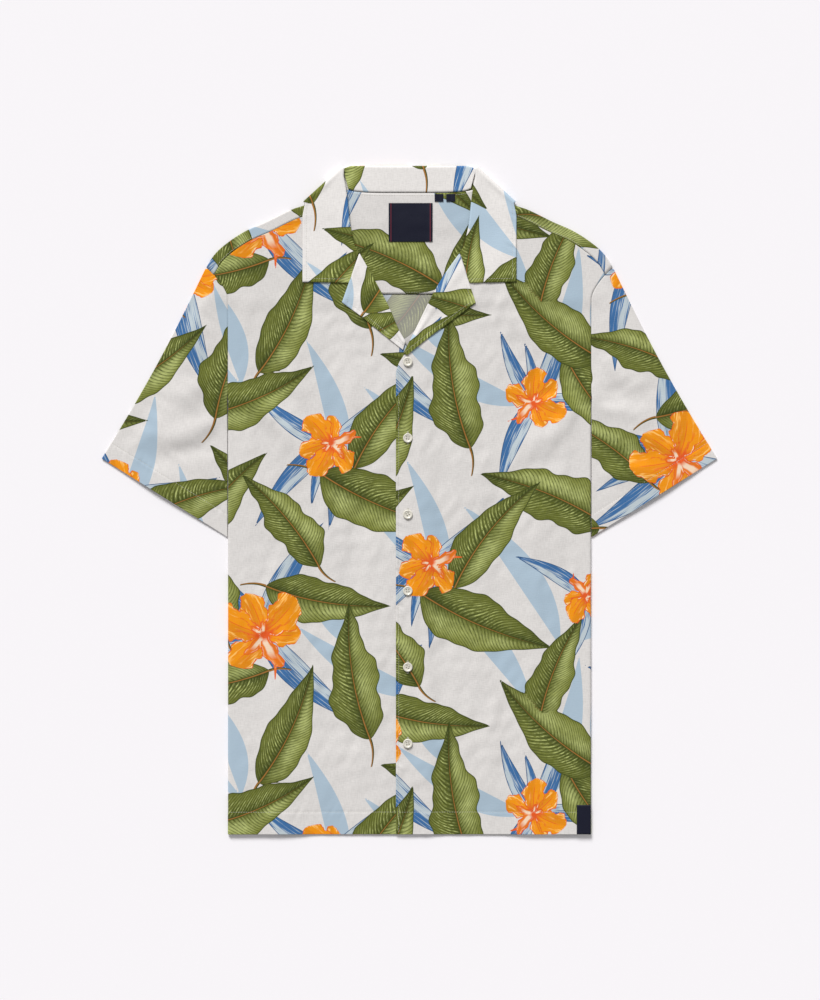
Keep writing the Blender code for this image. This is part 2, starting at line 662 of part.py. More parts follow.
def make_button(number, look):
    """A round button with a raised rim, turned about its own middle."""
    y = BUTTON_TOP_Y - (number - 1) * BUTTON_PITCH
    z = float(right_height(BUTTON_X, y)) + WALL / 2 + GAP
    profile = [  # radius and height, from the middle of the back round to the dish in front
        (BUTTON_RADIUS - 1.0, 0.0),
        (BUTTON_RADIUS, 0.8),
        (BUTTON_RADIUS, 1.5),
        (BUTTON_RADIUS - 0.7, BUTTON_THICK),
        (BUTTON_RADIUS - 1.9, BUTTON_THICK - 0.5),
    ]
    points = []
    for radius, height in profile:
        for k in range(BUTTON_SIDES):
            turn = 2 * math.pi * k / BUTTON_SIDES
            points.append((BUTTON_X + radius * math.cos(turn), y + radius * math.sin(turn), z + height))
    faces = []
    for ring in range(len(profile) - 1):
        for k in range(BUTTON_SIDES):
            after = (k + 1) % BUTTON_SIDES
            low, high = ring * BUTTON_SIDES, (ring + 1) * BUTTON_SIDES
            faces.append((low + k, low + after, high + after, high + k))
    faces.append(tuple(reversed(range(BUTTON_SIDES))))
    faces.append(tuple(range((len(profile) - 1) * BUTTON_SIDES, len(profile) * BUTTON_SIDES)))
    return add_object(f"button_{number}", points, faces, look)


def make_tab(name, xs, ys, look, columns=2, rows=2):
    """A flat woven label lying on the lining inside the neck."""
    middle = np.zeros((rows, columns, 3))
    for i, y in enumerate(np.linspace(*ys, rows)):
        for j, x in enumerate(np.linspace(*xs, columns)):
            middle[i, j] = (x, y, float(back_height(x, y)) + 2 * STEP + LABEL_CLEAR)
    return sheet(name, middle, look)


def make_side_tab(look):
    """The small label over the hem at the viewer's right side, following the side's turn."""
    flat = np.linspace(FOLD_X - SIDE_TAB_WIDE, FOLD_START, 4)
    turns = np.radians([14.0, 27.0, 40.0])
    radius = FOLD_MIDDLE - layer(0) + STEP
    rows = []
    for y in np.linspace(HEM_Y, HEM_Y + SIDE_TAB_TALL, 4):
        line = [(x, y, float(front_height(x, y)) + STEP) for x in flat]
        line += [
            (FOLD_START + radius * math.sin(t), y, FOLD_MIDDLE + radius * math.cos(t)) for t in turns
        ]
        rows.append(line)
    return sheet("side_tab", np.array(rows), look)


def make_look(name, color, roughness):
    look = bpy.data.materials.new(name)
    look.use_nodes = True
    shader = look.node_tree.nodes["Principled BSDF"]
    shader.inputs["Base Color"].default_value = (*color, 1.0)
    shader.inputs["Roughness"].default_value = roughness
    shader.inputs["Metallic"].default_value = 0.0
    return look


def main():
    for thing in list(bpy.data.objects):
        bpy.data.objects.remove(thing)
    print_cloth = {
        name: make_look(f"printed_cotton_{name}", color, 0.85)
        for name, color in {
            "back": (0.62, 0.64, 0.58),
            "front_left": (0.80, 0.80, 0.77),
            "front_right": (0.78, 0.79, 0.75),
            "sleeve_left": (0.66, 0.72, 0.56),
            "sleeve_right": (0.66, 0.72, 0.56),
            "yoke": (0.72, 0.76, 0.68),
            "lining": (0.60, 0.68, 0.52),
            "collar": (0.46, 0.58, 0.30),
            "lapel_left": (0.58, 0.68, 0.44),
            "lapel_right": (0.58, 0.68, 0.44),
        }.items()
    }
    make_back(print_cloth["back"])
    make_yoke(print_cloth["yoke"])
    make_lining(print_cloth["lining"])
    make_front("front_left", -1, UNDERLAP_X, ROLL_LEFT, front_height, print_cloth["front_left"])
    make_front("front_right", 1, LAP_EDGE_X, ROLL_RIGHT, right_height, print_cloth["front_right"])
    make_sleeve("sleeve_left", -1, print_cloth["sleeve_left"])
    make_sleeve("sleeve_right", 1, print_cloth["sleeve_right"])
    make_collar(print_cloth["collar"])
    left_roll = np.concatenate([[(-3.9, 184.3)], ROLL_LEFT[2:]])
    right_roll = np.concatenate([[(-7.4, 171.3)], ROLL_RIGHT[2:]])
    make_lapel("lapel_left", -1, left_roll, LAPEL_LEFT, front_height, print_cloth["lapel_left"])
    make_lapel("lapel_right", 1, right_roll, LAPEL_RIGHT, right_height, print_cloth["lapel_right"])
    for number in range(1, BUTTON_COUNT + 1):
        make_button(number, make_look(f"button_{number}", (0.86, 0.84, 0.78), 0.35))
    navy = (0.03, 0.04, 0.09)
    make_tab("neck_label", LABEL_X, LABEL_Y, make_look("woven_label", navy, 0.8), 3, 8)
    for number, xs in enumerate(SIZE_TAB_X, start=1):
        make_tab(f"neck_tab_{number}", xs, SIZE_TAB_Y, make_look(f"woven_tab_{number}", navy, 0.8))
    make_side_tab(make_look("woven_side_tab", navy, 0.8))


if __name__ == "__main__":
    main()
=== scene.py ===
"""A short-sleeved camp-collar shirt in a tropical print, laid flat: its cloth, print, stitching and light.

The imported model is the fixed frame. Sizes in the script are millimetres in the frame's own axes, and
are scaled to metres where a mesh is made. Each cloth piece is a thin shell that lies where its CAD
node lies, with the creases, hems and edges that the plain solid leaves out. The print is drawn by
the materials from fields on the cloth: how far each point is from a motif's edge, and where it is
along and across that motif.
"""

import math
from functools import partial

import bpy
import numpy as np
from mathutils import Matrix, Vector
from mathutils.bvhtree import BVHTree
from numpy.linalg import norm


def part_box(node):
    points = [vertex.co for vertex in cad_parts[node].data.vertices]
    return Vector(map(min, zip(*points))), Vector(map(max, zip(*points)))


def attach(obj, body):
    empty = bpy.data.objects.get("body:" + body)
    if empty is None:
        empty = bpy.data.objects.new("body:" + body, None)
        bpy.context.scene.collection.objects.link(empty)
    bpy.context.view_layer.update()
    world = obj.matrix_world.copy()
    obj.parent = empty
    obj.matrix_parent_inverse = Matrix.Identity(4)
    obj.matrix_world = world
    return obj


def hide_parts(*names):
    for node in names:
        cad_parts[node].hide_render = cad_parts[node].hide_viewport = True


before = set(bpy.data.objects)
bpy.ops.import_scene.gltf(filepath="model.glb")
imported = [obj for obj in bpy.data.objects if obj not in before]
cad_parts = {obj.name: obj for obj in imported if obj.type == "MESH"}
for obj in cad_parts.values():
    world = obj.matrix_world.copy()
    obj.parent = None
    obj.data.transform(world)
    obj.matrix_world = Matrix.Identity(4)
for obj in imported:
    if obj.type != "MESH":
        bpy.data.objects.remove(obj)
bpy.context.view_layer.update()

bl_info = {
    "name": "Camp-collar shirt",
    "version": (1, 0, 0),
    "blender": (4, 5, 0),
    "location": "3D View > Sidebar > Shirt",
    "description": "Builds a printed short-sleeved shirt laid flat, with its stitching, buttons and light",
    "category": "Object",
}

MM = 0.001


def node_box(node):
    """The lowest and highest corners of a CAD node, in millimetres."""
    low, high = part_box(node)
    return np.array(low) / MM, np.array(high) / MM


# Layers of cloth, as the solids stack them
WALL = 1.0
GAP = 0.3
STEP = WALL + GAP  # from the middle of one layer to the middle of the next
DOUBLED = 0.4  # what a turned edge adds to the thickness of the cloth

# Body
HEM_Y = float(node_box("front_right")[0][1])
FOLD_X = 212.4  # the straight side edges, where the body is folded behind
FLAP_WIDE = 62.0
FLAP_TOP_Y = 117.0
FLAP_FULL_Y = 42.0
FLAP_LEAST = 4.0
FLAP_CLEAR = (3.0, 8.0)  # how far sideways and up the cloth over the folded part stays raised past it
FLAP_EASE = 44.0  # how far the cloth over the folded part takes to come down, sideways
RISE_EASE = 45.0  # and above it
ARMHOLE_Y = 235.0
ARMHOLE_BEND = 1.6
SHOULDER_X = 237.4
SHOULDER_Y = 272.0
YOKE_SEAM_Y = 241.0
YOKE_STRIP = 12.0
LINING_HALF = 205.0  # how far the inner yoke's lower stitching runs out from the middle

# Front edges
LAP_EDGE_X = -15.8
UNDERLAP_X = 14.0
LAP_EASE = 20.0
BREAK_Y = 150.0  # where the lapels' folds begin
EDGE_STITCH = 3.2  # from a finished edge to its stitching
SEAM_STITCH = 2.2  # from the shoulder seam to its stitching
LINING_STITCH = 2.0  # from the inner yoke's lower edge to its stitching
NECK_STITCH = 3.0  # from its upper edge to its stitching
LAPEL_TUCK = 2.2  # how far a front's edge stays inside its lapel's fold

# Neck and collar
NECK_Y = 358.9
NECK_POINT_X = 82.0
NECK_POINT_Y = 365.5
NECK_BEND = 5
ROLL_TOP_Y = float(node_box("collar")[1][1])
ROLL_CORNER_X = 78.7
FALL_EDGE_Y = 331.0  # the middle of the collar's edge under the yoke, and how much higher its ends are
FALL_EDGE_RISE = 14.0
FALL_EASE = 30.0
NOTCH = (70.2, 253.6)
COLLAR_POINT = (125.0, 254.6)
LEAF_EDGE = (125.0, 332.0)
CORNER_FOLD_END = (124.0, 348.6)
LEG_APART = 2.6
CORNER_ALONG = 2.2
CORNER_IN = 0.6
CORNER_ROLL_RADIUS = 3.5
CORNER_ROLL_Z = 4.0
CORNER_EDGE_RADIUS = 2.9
CORNER_EDGE_Z = 3.4
CORNER_STAND_RADIUS = 1.0
CORNER_STAND_Z = 3.9
CORNER_NECK_X = (71.5, 80.3)
CORNER_NECK_IN = 1.8
COLLAR_STITCH = 4.5
COLLAR_FALL_CUT = (130.0, 40.0)  # the fall's print is from another place than the stand's

# Buttons and labels
BUTTON_X = -2.0
BUTTON_TOP_Y = 161.6
BUTTON_PITCH = 89.2
BUTTON_COUNT = 6
BUTTON_RADIUS = 5.6
BUTTON_THICK = 2.2
BUTTON_LIFT = 0.55  # from the middle of the front's cloth to the button's back
HOLE_APART = 1.3  # from the button's middle to a hole, across and along
HOLE_RADII = (0.82, 0.62)  # of a hole's mouth and of its floor
HOLE_FLOOR = 0.15
THREAD_Z = 1.85
BUTTON_TURNS = (14, -9, 31, 4, -22, 11)  # how each button came to be turned, in degrees
BUTTON_OUTER_RINGS = (3.1, 3.5, 3.9, 4.2, 4.5, 4.8, 5.1, 5.35)
# A button's upper side from the middle to the rim, then round its edge to the back: radius, height
BUTTON_UPPER = (
    (0, 1.45),
    (2.8, 1.5),
    (3.5, 1.7),
    (4.2, 2.12),
    (4.6, BUTTON_THICK),
    (5.0, 2.1),
    (5.4, 1.75),
)
BUTTON_BACK = (
    (5.55, 1.5),
    (BUTTON_RADIUS, 1.2),
    (BUTTON_RADIUS, 0.85),
    (5.4, 0.5),
    (5.0, 0.2),
    (4.4, 0.05),
    (0.0, 0.0),
)
BUTTON_THREADS = (-0.28, 0.28)  # where two threads lie in one hole, sideways
THREAD_OVER = 0.5  # how much longer a thread is than the way between two holes
BUTTONHOLE_HALF = 6.6
BUTTONHOLE_SIDE = 0.8  # from the slit to the middle of the stitches beside it
BUTTONHOLE_BAR = (0.9, 0.1)  # how far past the slit's ends the bars stop and begin
# From one stitch to the next, and how long each is across its line
SIDE_STITCHES = {"pitch": 0.45, "across": 1.3}
BAR_STITCHES = {"pitch": 0.4, "across": 2.6}
LABEL_X = (-24.3, 26.9)
LABEL_Y = (301.9, 347.0)
SIZE_TAB_X = ((29.4, 39.5), (43.1, 53.2))
SIZE_TAB_Y = (348.6, 357.6)
SIDE_TAB_WIDE = 17.0
SIDE_TAB_TALL = 34.5
SIDE_TAB_LIFT = 0.95  # from the middle of the front's cloth to the middle of the label
SIDE_TAB_THICK = 0.55
LABEL_LIFT = 0.85
LABEL_THICK = 0.4
LABEL_CELL = 1.3
LABEL_FOLD = (4.5, 3.5)  # where its turned-under ends begin and are full, from its sides
LABEL_FOLD_RISE = 0.15
LABEL_FOLD_THICK = 0.25
LABEL_STITCH = 1.1  # from its edges to its stitching

# Sleeves
CUFF_TIP = (360.0, 48.3)
CUFF_INNER_Y = -43.5
SLEEVE_HOLLOW = 4.0  # how far the outer fold bends in
SLEEVE_TOP_Y = 270.0
SLEEVE_CROWN = 2.4  # air inside the sleeve
SLEEVE_EASE = 34.0  # how far the sleeve takes to come down from the body's layers
ARMHOLE_TUCK = 1.1  # how far the sleeve's upper part reaches under the armhole seam
SEAM_DROP = 0.62  # how far its walls close in there
CUFF_UPRIGHT = 0.85  # a distance up the shirt, as a distance from the slanting cuff

# The shoulder fold: x, y and the lean of the seam lines across it, in degrees from straight down.
SHOULDER_LINE = (
    (NECK_POINT_X, NECK_POINT_Y, 10.0),
    (92.0, 360.5, -8.0),
    (110.0, 350.6, -24.0),
    (124.0, 343.8, -26.0),
    (136.0, 340.0, -26.0),
    (168.8, 324.4, -25.5),
    (191.3, 314.4, -28.0),
    (217.3, 297.0, -38.0),
    (228.5, 286.0, -43.0),
    (237.4, 272.0, -44.5),
)

# The fronts' hidden neck edge, the lapels' folds and the lapels' lower edges: x, y.
FRONT_NECK = ((86.5, 345.0), (85.5, 328.9), (77.0, 303.5), (62.0, 287.3))
ROLL_LEFT = ((14.0, 150.0), (-2.2, 181.2), (-13.0, 200.3), (-22.6, 223.0), (-39.9, 255.9), (-58.0, 288.0))
ROLL_RIGHT = ((-15.8, 150.0), (-10.6, 165.0), (6.1, 198.0), (26.3, 239.0), (41.5, 264.8), (58.0, 288.0))
LAPEL_LEFT = ((-7.6, 175.4), (-33.3, 195.5), (-56.0, 214.0), (-79.0, 231.0))
LAPEL_RIGHT = ((-3.2, 168.9), (24.0, 190.8), (50.2, 209.9), (77.5, 230.0))
LAPEL_START = {"left": (-3.9, 184.3), "right": (-7.4, 171.3)}

# Creases: x and y of one end, x and y of the other, rise (a trough where negative), width.
FRONT_CREASES = (
    (-204, 128, -118, 40, 2.0, 13),
    (-196, 96, -150, -40, 1.5, 15),
    (204, 120, 128, 52, 2.1, 14),
    (198, 84, 158, -60, 1.4, 16),
    (-70, 150, -98, -20, 1.3, 17),
    (-44, 20, -64, -190, -1.2, 15),
    (-150, -80, -172, -320, 1.4, 17),
    (-112, -200, -92, -372, 1.1, 13),
    (44, 130, 78, -10, 1.5, 18),
    (70, -30, 52, -230, -1.3, 14),
    (128, -70, 150, -260, 1.3, 19),
    (96, -250, 116, -378, 1.2, 14),
    (180, -190, 186, -350, -1.0, 11),
    (26, -210, 34, -350, 1.0, 11),
    (-150, 236, -108, 172, 1.3, 15),
    (112, 226, 176, 168, 1.4, 15),
    (-196, 210, -160, 284, 1.0, 14),
    (150, 292, 206, 226, 1.1, 14),
    (-30, 90, -34, 20, 0.9, 10),
    (10, 66, 36, -20, 0.9, 10),
)
LEFT_SLEEVE_CREASES = (
    (-222, 98, -296, 70, 1.6, 13),
    (-224, 62, -318, 34, -1.0, 11),
    (-226, 150, -276, 118, 1.5, 12),
    (-242, 232, -262, 150, 1.0, 13),
    (-236, -4, -300, 26, 1.2, 10),
    (-330, 60, -282, 104, 0.9, 11),
)
RIGHT_SLEEVE_CREASES = (
    (221, 106, 284, 92, 1.6, 12),
    (223, 74, 306, 44, -1.0, 12),
    (224, 30, 300, 22, 1.3, 11),
    (228, 166, 272, 128, 1.2, 12),
    (246, 226, 280, 140, 1.1, 14),
    (322, 78, 292, 120, 0.8, 12),
)
LINING_CREASES = ((-50, 330, -30, 262, 0.5, 9), (52, 300, 20, 250, 0.5, 9), (-20, 268, 34, 256, 0.4, 8))
COLLAR_CREASES = (
    (-112, 330, -92, 268, 0.5, 9),
    (-78, 316, -84, 262, 0.45, 7),
    (112, 326, 100, 270, 0.5, 9),
    (82, 312, 92, 262, 0.4, 8),
)
BACK_CREASES = (
    (-60, 214, 20, 176, 0.5, 11),
    (-10, 238, 50, 196, -0.3, 10),
    (-130, 120, -60, -60, 0.5, 18),
    (120, 90, 80, -120, 0.5, 19),
    (-40, -120, -70, -330, 0.4, 16),
    (50, -190, 84, -360, 0.4, 15),
)

# The stage
FLOOR_HALF = 1600.0
FLOOR_Z = -0.2
SKY_STRENGTH = 0.38
SUN_STRENGTH = 3.24
SUN_WIDE = 24.0  # degrees, which sets how soft the shadows are
SUN_FROM = (-0.45, 1.5, 1.2)
CAMERA_X = 0.6
CAMERA_Z = 3200.0
SEEN_TALL = 1170.0  # what the picture shows of the floor, from top to bottom
SENSOR_TALL = 36.0

# The print, in millimetres: one repeat, and the motifs' own layout in it.
REPEAT = (400.0, 480.0)
# The middle of each leaf, its heading, length, half width, bend and wave, and its stem's length
LEAVES = (
    (40, 62, 64, 150, 28, -38, 0.05, 34),
    (118, 40, 118, 140, 25, 30, 0.13, 24),
    (232, 52, -34, 164, 34, 34, 0.06, 38),
    (316, 4, 80, 138, 24, -30, 0.10, 18),
    (84, 178, 8, 148, 28, 40, 0.07, 26),
    (240, 164, 66, 156, 27, -42, 0.05, 34),
    (306, 208, 146, 160, 32, 34, 0.12, 30),
    (396, 176, 98, 138, 23, -34, 0.06, 26),
    (126, 274, 52, 150, 27, 36, 0.05, 36),
    (196, 338, 112, 160, 30, -38, 0.13, 30),
    (368, 306, -64, 146, 26, 34, 0.06, 28),
    (30, 322, 202, 142, 25, -34, 0.12, 24),
    (166, 420, -22, 146, 27, 34, 0.07, 28),
    (306, 410, 152, 158, 31, -38, 0.06, 34),
    (28, 448, 100, 144, 26, 36, 0.11, 26),
)
# x, y, heading, size
FLOWERS = ((92, 384, 12, 0.86), (292, 314, -58, 0.60), (170, 126, 96, 0.64), (352, 88, 205, 0.52))
# heading, reach, half width, bend and wave, for a flower of size 1
PETALS_BACK = ((92, 58, 17, 9, 0.14), (222, 60, 20, -10, 0.15), (336, 50, 15, 10, 0.14))
PETALS_FRONT = ((24, 64, 23, 12, 0.15), (156, 66, 22, -13, 0.15))
CURLS = (
    (270, 50, 11.0, 16, 0.16),
    (238, 36, 7.0, -14, 0.10),
    (300, 58, 3.0, -30, 0.0),
    (70, 17, 4.4, 3, 0.0),
    (150, 19, 3.8, -3, 0.0),
)
BLADES = (
    (118, 200, 19.0, 50, 0.0),
    (64, 168, 17.0, -44, 0.0),
    (186, 156, 16.0, -36, 0.0),
    (292, 182, 19.0, 46, 0.0),
    (146, 122, 11.0, 26, 0.0),
)
# Where a tuft of pale blades springs, then each blade's heading, length, half width and bend
PALE_TUFTS = (
    (66, 194, ((148, 190, 16, -74), (88, 118, 13, 40))),
    (286, 312, ((52, 184, 16, 70), (172, 166, 14, -60))),
    (322, 28, ((104, 190, 16, 72), (36, 160, 14, -56))),
    (152, 442, ((204, 184, 16, 68), (286, 100, 12, 36))),
    (362, 386, ((84, 118, 13, -28),)),
    (182, 84, ((84, 160, 14, 58), (330, 166, 15, -62))),
)
# How each kind of motif swells along its length: powers at its root and at its tip
LEAF_SWELL = (0.72, 1.28)
STEM_SWELL = (0.05, 0.05)
PALE_SWELL = (1.05, 1.15)
BLADE_SWELL = (0.60, 1.15)
PETAL_SWELL = (0.85, 0.46)
CURL_SWELL = (0.5, 0.45)
STEM_HALF = 1.7

# Where each piece was cut from the printed cloth: x, y and turn in degrees
CUT_FROM = {
    "front_right": (146.0, 200.0, 0.0),
    "front_left": (263.0, 60.0, 0.0),
    "back_panel": (234.0, 380.0, 180.0),
    "yoke_back": (150.0, 80.0, 0.0),
    "yoke_lining": (340.0, -80.0, 0.0),
    "sleeve_left": (60.0, 300.0, 32.0),
    "sleeve_right": (200.0, 30.0, -32.0),
    "collar": (200.0, -126.0, 0.0),
    "lapel_left": (140.0, -10.0, 0.0),
    "lapel_right": (220.0, -10.0, 0.0),
}

CELL = 2.3  # the mesh's spacing
BACK_CELL = 3.0
SLEEVE_CELL = 2.8
LEAST_APART = 0.28
BESIDE_SEAM = (-3.0, -1.7, -0.9, 0.0, 0.9, 1.7, 3.0)  # the closer places by a seam, and by an edge
BESIDE_EDGE = (-0.7, -0.3, 0.3, 0.7)


def to_linear(code):
    """An sRGB hex colour as linear red, green and blue."""
    parts = [int(code[k : k + 2], 16) / 255 for k in (0, 2, 4)]
    return tuple(p / 12.92 if p <= 0.04045 else ((p + 0.055) / 1.055) ** 2.4 for p in parts)


def size_property(name, default, description):
    """A length that the sidebar shows, in metres."""
    return bpy.props.FloatProperty(name=name, default=default, description=description, unit="LENGTH")


class ShirtSizes(bpy.types.PropertyGroup):
    """Sizes that a user would change."""

    cloth_thick: size_property("Cloth", 0.00045, "Thickness of one layer of cloth")
    sewn_thick: size_property("Sewn edges", 0.00095, "Thickness of the collar and lapels")
    crown: size_property("Air", 0.0016, "Air under the middle of the fronts")
    crease_depth: bpy.props.FloatProperty(
        name="Creases", description="Depth of the creases, 1 as placed", default=1.4, subtype="FACTOR"
    )
    hem: size_property("Hem", 0.026, "From the hem to its stitching")
    cuff: size_property("Cuff", 0.022, "From the cuff's edge to its stitching")
    stitch: size_property("Stitch", 0.0029, "Length of one stitch with its gap")
    thread: size_property("Thread", 0.00032, "Width of the sewing thread")


def colour_property(name, code, description):
    """A colour that the sidebar shows, from its sRGB hex value."""
    return bpy.props.FloatVectorProperty(
        name=name, description=description, default=to_linear(code), subtype="COLOR", size=3, min=0, max=1
    )


class ShirtColours(bpy.types.PropertyGroup):
    """Colours of the print, the trims and the floor."""

    ground: colour_property("Ground", "dedad7", "Undyed off-white of the cloth")
    pale: colour_property("Pale blades", "a9bccb", "Flat pale blue at the back of the print")
    blue: colour_property("Blades", "3a6a9e", "Strong blue of the long blades")
    blue_line: colour_property("Blade lines", "2c527c", "Outline of the blades")
    cream: colour_property("Blade inside", "c3cdd0", "Pale side of the blades")
    leaf: colour_property("Leaf", "73792e", "Main green")
    leaf_dark: colour_property("Leaf veins", "353f06", "Darker green between the strokes")
    leaf_light: colour_property("Leaf strokes", "b0b872", "Pale brush strokes")
    rib: colour_property("Midrib", "99682c", "Brown of the midribs and stems")
    orange: colour_property("Petal", "ee9300", "Main orange")
    red: colour_property("Petal lines", "df561c", "Red-orange of the outlines and centres")
    orange_dark: colour_property("Petal shade", "c87400", "Shaded half of the petals")
    glow: colour_property("Petal strokes", "ffc266", "Light strokes on the petals")
    petal_light: colour_property("Petal light", "f3dcc0", "Cream at the petals' rims and in the curls")
    navy: colour_property("Label", "0e1126", "Navy of the woven labels")
    wine: colour_property("Label line", "5c2130", "Dark red woven line at the label's sides")
    button: colour_property("Button", "e2ddd0", "Cream of the buttons")
    thread: colour_property("Thread", "d0cdc3", "Sewing thread")
    floor: colour_property("Floor", "f8f5f8", "Paper that the shirt lies on")


# Curves and outlines


def smooth(start, end, value):
    """0 before start, 1 past end, and an eased rise between them."""
    share = np.clip((np.asarray(value, float) - start) / (end - start), 0.0, 1.0)
    return share * share * (3.0 - 2.0 * share)


def eased(at, places, values):
    """A smooth curve through values at places, without overshoot. values may have columns."""
    places = np.asarray(places, float)
    values = np.asarray(values, float)
    flat = values.ndim == 1
    values = values.reshape(len(places), -1)
    gaps = np.diff(places)[:, None]
    slopes = np.diff(values, axis=0) / gaps
    before, after = slopes[:-1], slopes[1:]
    total = before + after
    inner = np.where(before * after > 0, 2 * before * after / np.where(total == 0, 1, total), 0.0)
    tangents = np.concatenate([slopes[:1], inner, slopes[-1:]])
    at = np.clip(np.asarray(at, float), places[0], places[-1])
    left = np.clip(np.searchsorted(places, at, side="right") - 1, 0, len(places) - 2)
    gap = gaps[left]
    t = ((at - places[left]) / gap[..., 0])[..., None]
    made = (
        (1 + 2 * t) * (1 - t) ** 2 * values[left]
        + t * (1 - t) ** 2 * gap * tangents[left]
        + t**2 * (3 - 2 * t) * values[left + 1]
        + t**2 * (t - 1) * gap * tangents[left + 1]
    )
    return made[..., 0] if flat else made.reshape(*at.shape, values.shape[1])


def unit(ways):
    """Directions made 1 long."""
    return ways / np.maximum(norm(ways, axis=-1, keepdims=True), 1e-9)


def to_the_right(way):
    """The direction at a right angle to another one in plan, on its right."""
    return np.stack([way[..., 1], -way[..., 0]], axis=-1)


def compass(heading):
    """The direction of a heading in degrees, and the direction to its left."""
    turn = math.radians(heading)
    ahead = np.array([math.cos(turn), math.sin(turn)])
    return ahead, -to_the_right(ahead)


def line_lengths(line):
    """How far along a line each of its points is."""
    return np.concatenate([[0], np.cumsum(norm(np.diff(line, axis=0), axis=1))])


def on_line(line, shares):
    """Points at these shares of a line's length."""
    line = np.asarray(line, float)
    lengths = line_lengths(line)
    at = np.asarray(shares, float) * lengths[-1]
    return np.stack([np.interp(at, lengths, line[:, k]) for k in range(line.shape[1])], axis=-1)


def rounded(line):
    """A smooth line of 60 points through a few."""
    line = np.asarray(line, float)
    lengths = line_lengths(line)
    return eased(np.linspace(0, lengths[-1], 60), lengths, line)


def between(start, end, shares):
    """Points at these shares of the way from one point to another."""
    return [start + (end - start) * share for share in shares]


def mirrored(half, *flip):
    """A grid made whole about the middle of the shirt. flip is what turns its points over."""
    return np.concatenate([half[:, :0:-1] * flip, half], axis=1)


def spaced(start, end, size=CELL, seams=(), edges=()):
    """Rising places from start to end about a cell apart, closer beside seams and edges."""
    low, high = min(start, end), max(start, end)
    plain = np.linspace(low, high, max(2, int(round((high - low) / size)) + 1))
    near = [s + d for s in seams for d in BESIDE_SEAM] + [e + d for e in edges for d in BESIDE_EDGE]
    places = np.unique(np.round(np.concatenate([plain, [p for p in near if low < p < high]]), 3))
    kept = [places[0]]
    for place in places[1:-1]:
        if place - kept[-1] > LEAST_APART and places[-1] - place > LEAST_APART:
            kept.append(place)
    return np.array([*kept, places[-1]])


def layer(count):
    """The middle of the wall that has this many layers under it."""
    return WALL / 2 + count * STEP


def flap_width(y):
    """How far the folded-back part of the body reaches in from the side."""
    rise = np.clip((FLAP_TOP_Y - np.asarray(y, float)) / (FLAP_TOP_Y - FLAP_FULL_Y), 0.0, 1.0)
    return FLAP_LEAST + (FLAP_WIDE - FLAP_LEAST) * np.sqrt(1.0 - (1.0 - rise) ** 2)


def over_flap(x, y):
    """1 where the panels lie over the folded-back part."""
    edge = FOLD_X - flap_width(np.asarray(y, float) - FLAP_CLEAR[1]) - FLAP_CLEAR[0]
    return smooth(edge - FLAP_EASE, edge, np.abs(x)) * smooth(FLAP_TOP_Y + RISE_EASE, FLAP_TOP_Y, y)


def over_fall(x, y):
    """1 where the yoke lies over the back of the collar."""
    x = np.abs(x)
    edge = FALL_EDGE_Y + FALL_EDGE_RISE * smooth(55, 122, x) - FLAP_CLEAR[0]
    return smooth(edge - FALL_EASE, edge, y) * smooth(160, 128, x)


def armhole_x(y):
    """The armhole seam, straight at first and then leaning out to the shoulder point."""
    rise = np.clip((np.asarray(y, float) - ARMHOLE_Y) / (SHOULDER_Y - ARMHOLE_Y), 0.0, 1.0)
    return FOLD_X + (SHOULDER_X - FOLD_X) * rise**ARMHOLE_BEND


def neck_y(x):
    """The back neck seam."""
    return NECK_Y + (NECK_POINT_Y - NECK_Y) * (np.abs(x) / NECK_POINT_X) ** NECK_BEND


def shoulder(x):
    """The shoulder fold at this x: its y, and the direction of the lines that cross it."""
    table = np.array(SHOULDER_LINE)
    y, lean = np.moveaxis(eased(x, table[:, 0], table[:, 1:]), -1, 0)
    return y, np.sin(np.radians(lean)), -np.cos(np.radians(lean))


def shoulder_seam():
    """The forward shoulder seam, below the yoke's strip, from the neck to the sleeve."""
    xs = np.linspace(NECK_POINT_X, SHOULDER_X, 80)
    y, dx, dy = shoulder(xs)
    down = YOKE_STRIP + GAP
    return np.stack([xs + down * dx, y + down * dy], axis=1)


def front_outer_x(y):
    """The front's outer edge: side, armhole, and the shoulder seam under the yoke's strip."""
    seam = shoulder_seam()[::-1]
    return np.minimum(armhole_x(y), np.interp(y, seam[:, 1], seam[:, 0]))


# Creases and heights


CREASE_BOW = 0.07  # how far a crease bows aside, as a share of its length
DIP_AT, DIP_WIDE, DIP_SHARE = 1.9, 1.3, 0.4  # the dip along one side of it, as shares of its width and rise
SWAY_SIZES = (190.0, 130.0, 90.0, 62.0)
CRUMPLE_SIZES = (15.0, 18.0, 21.0, 25.0, 29.0, 34.0, 41.0)
CRUMPLE_BOW = 5.0  # how far a small wrinkle's line wanders
FULL_TURN = 6.28
GROOVE_DEPTH, GROOVE_HALF = 0.22, 1.2
PUCKER_RISE, PUCKER_REACH = 0.24, 8.0


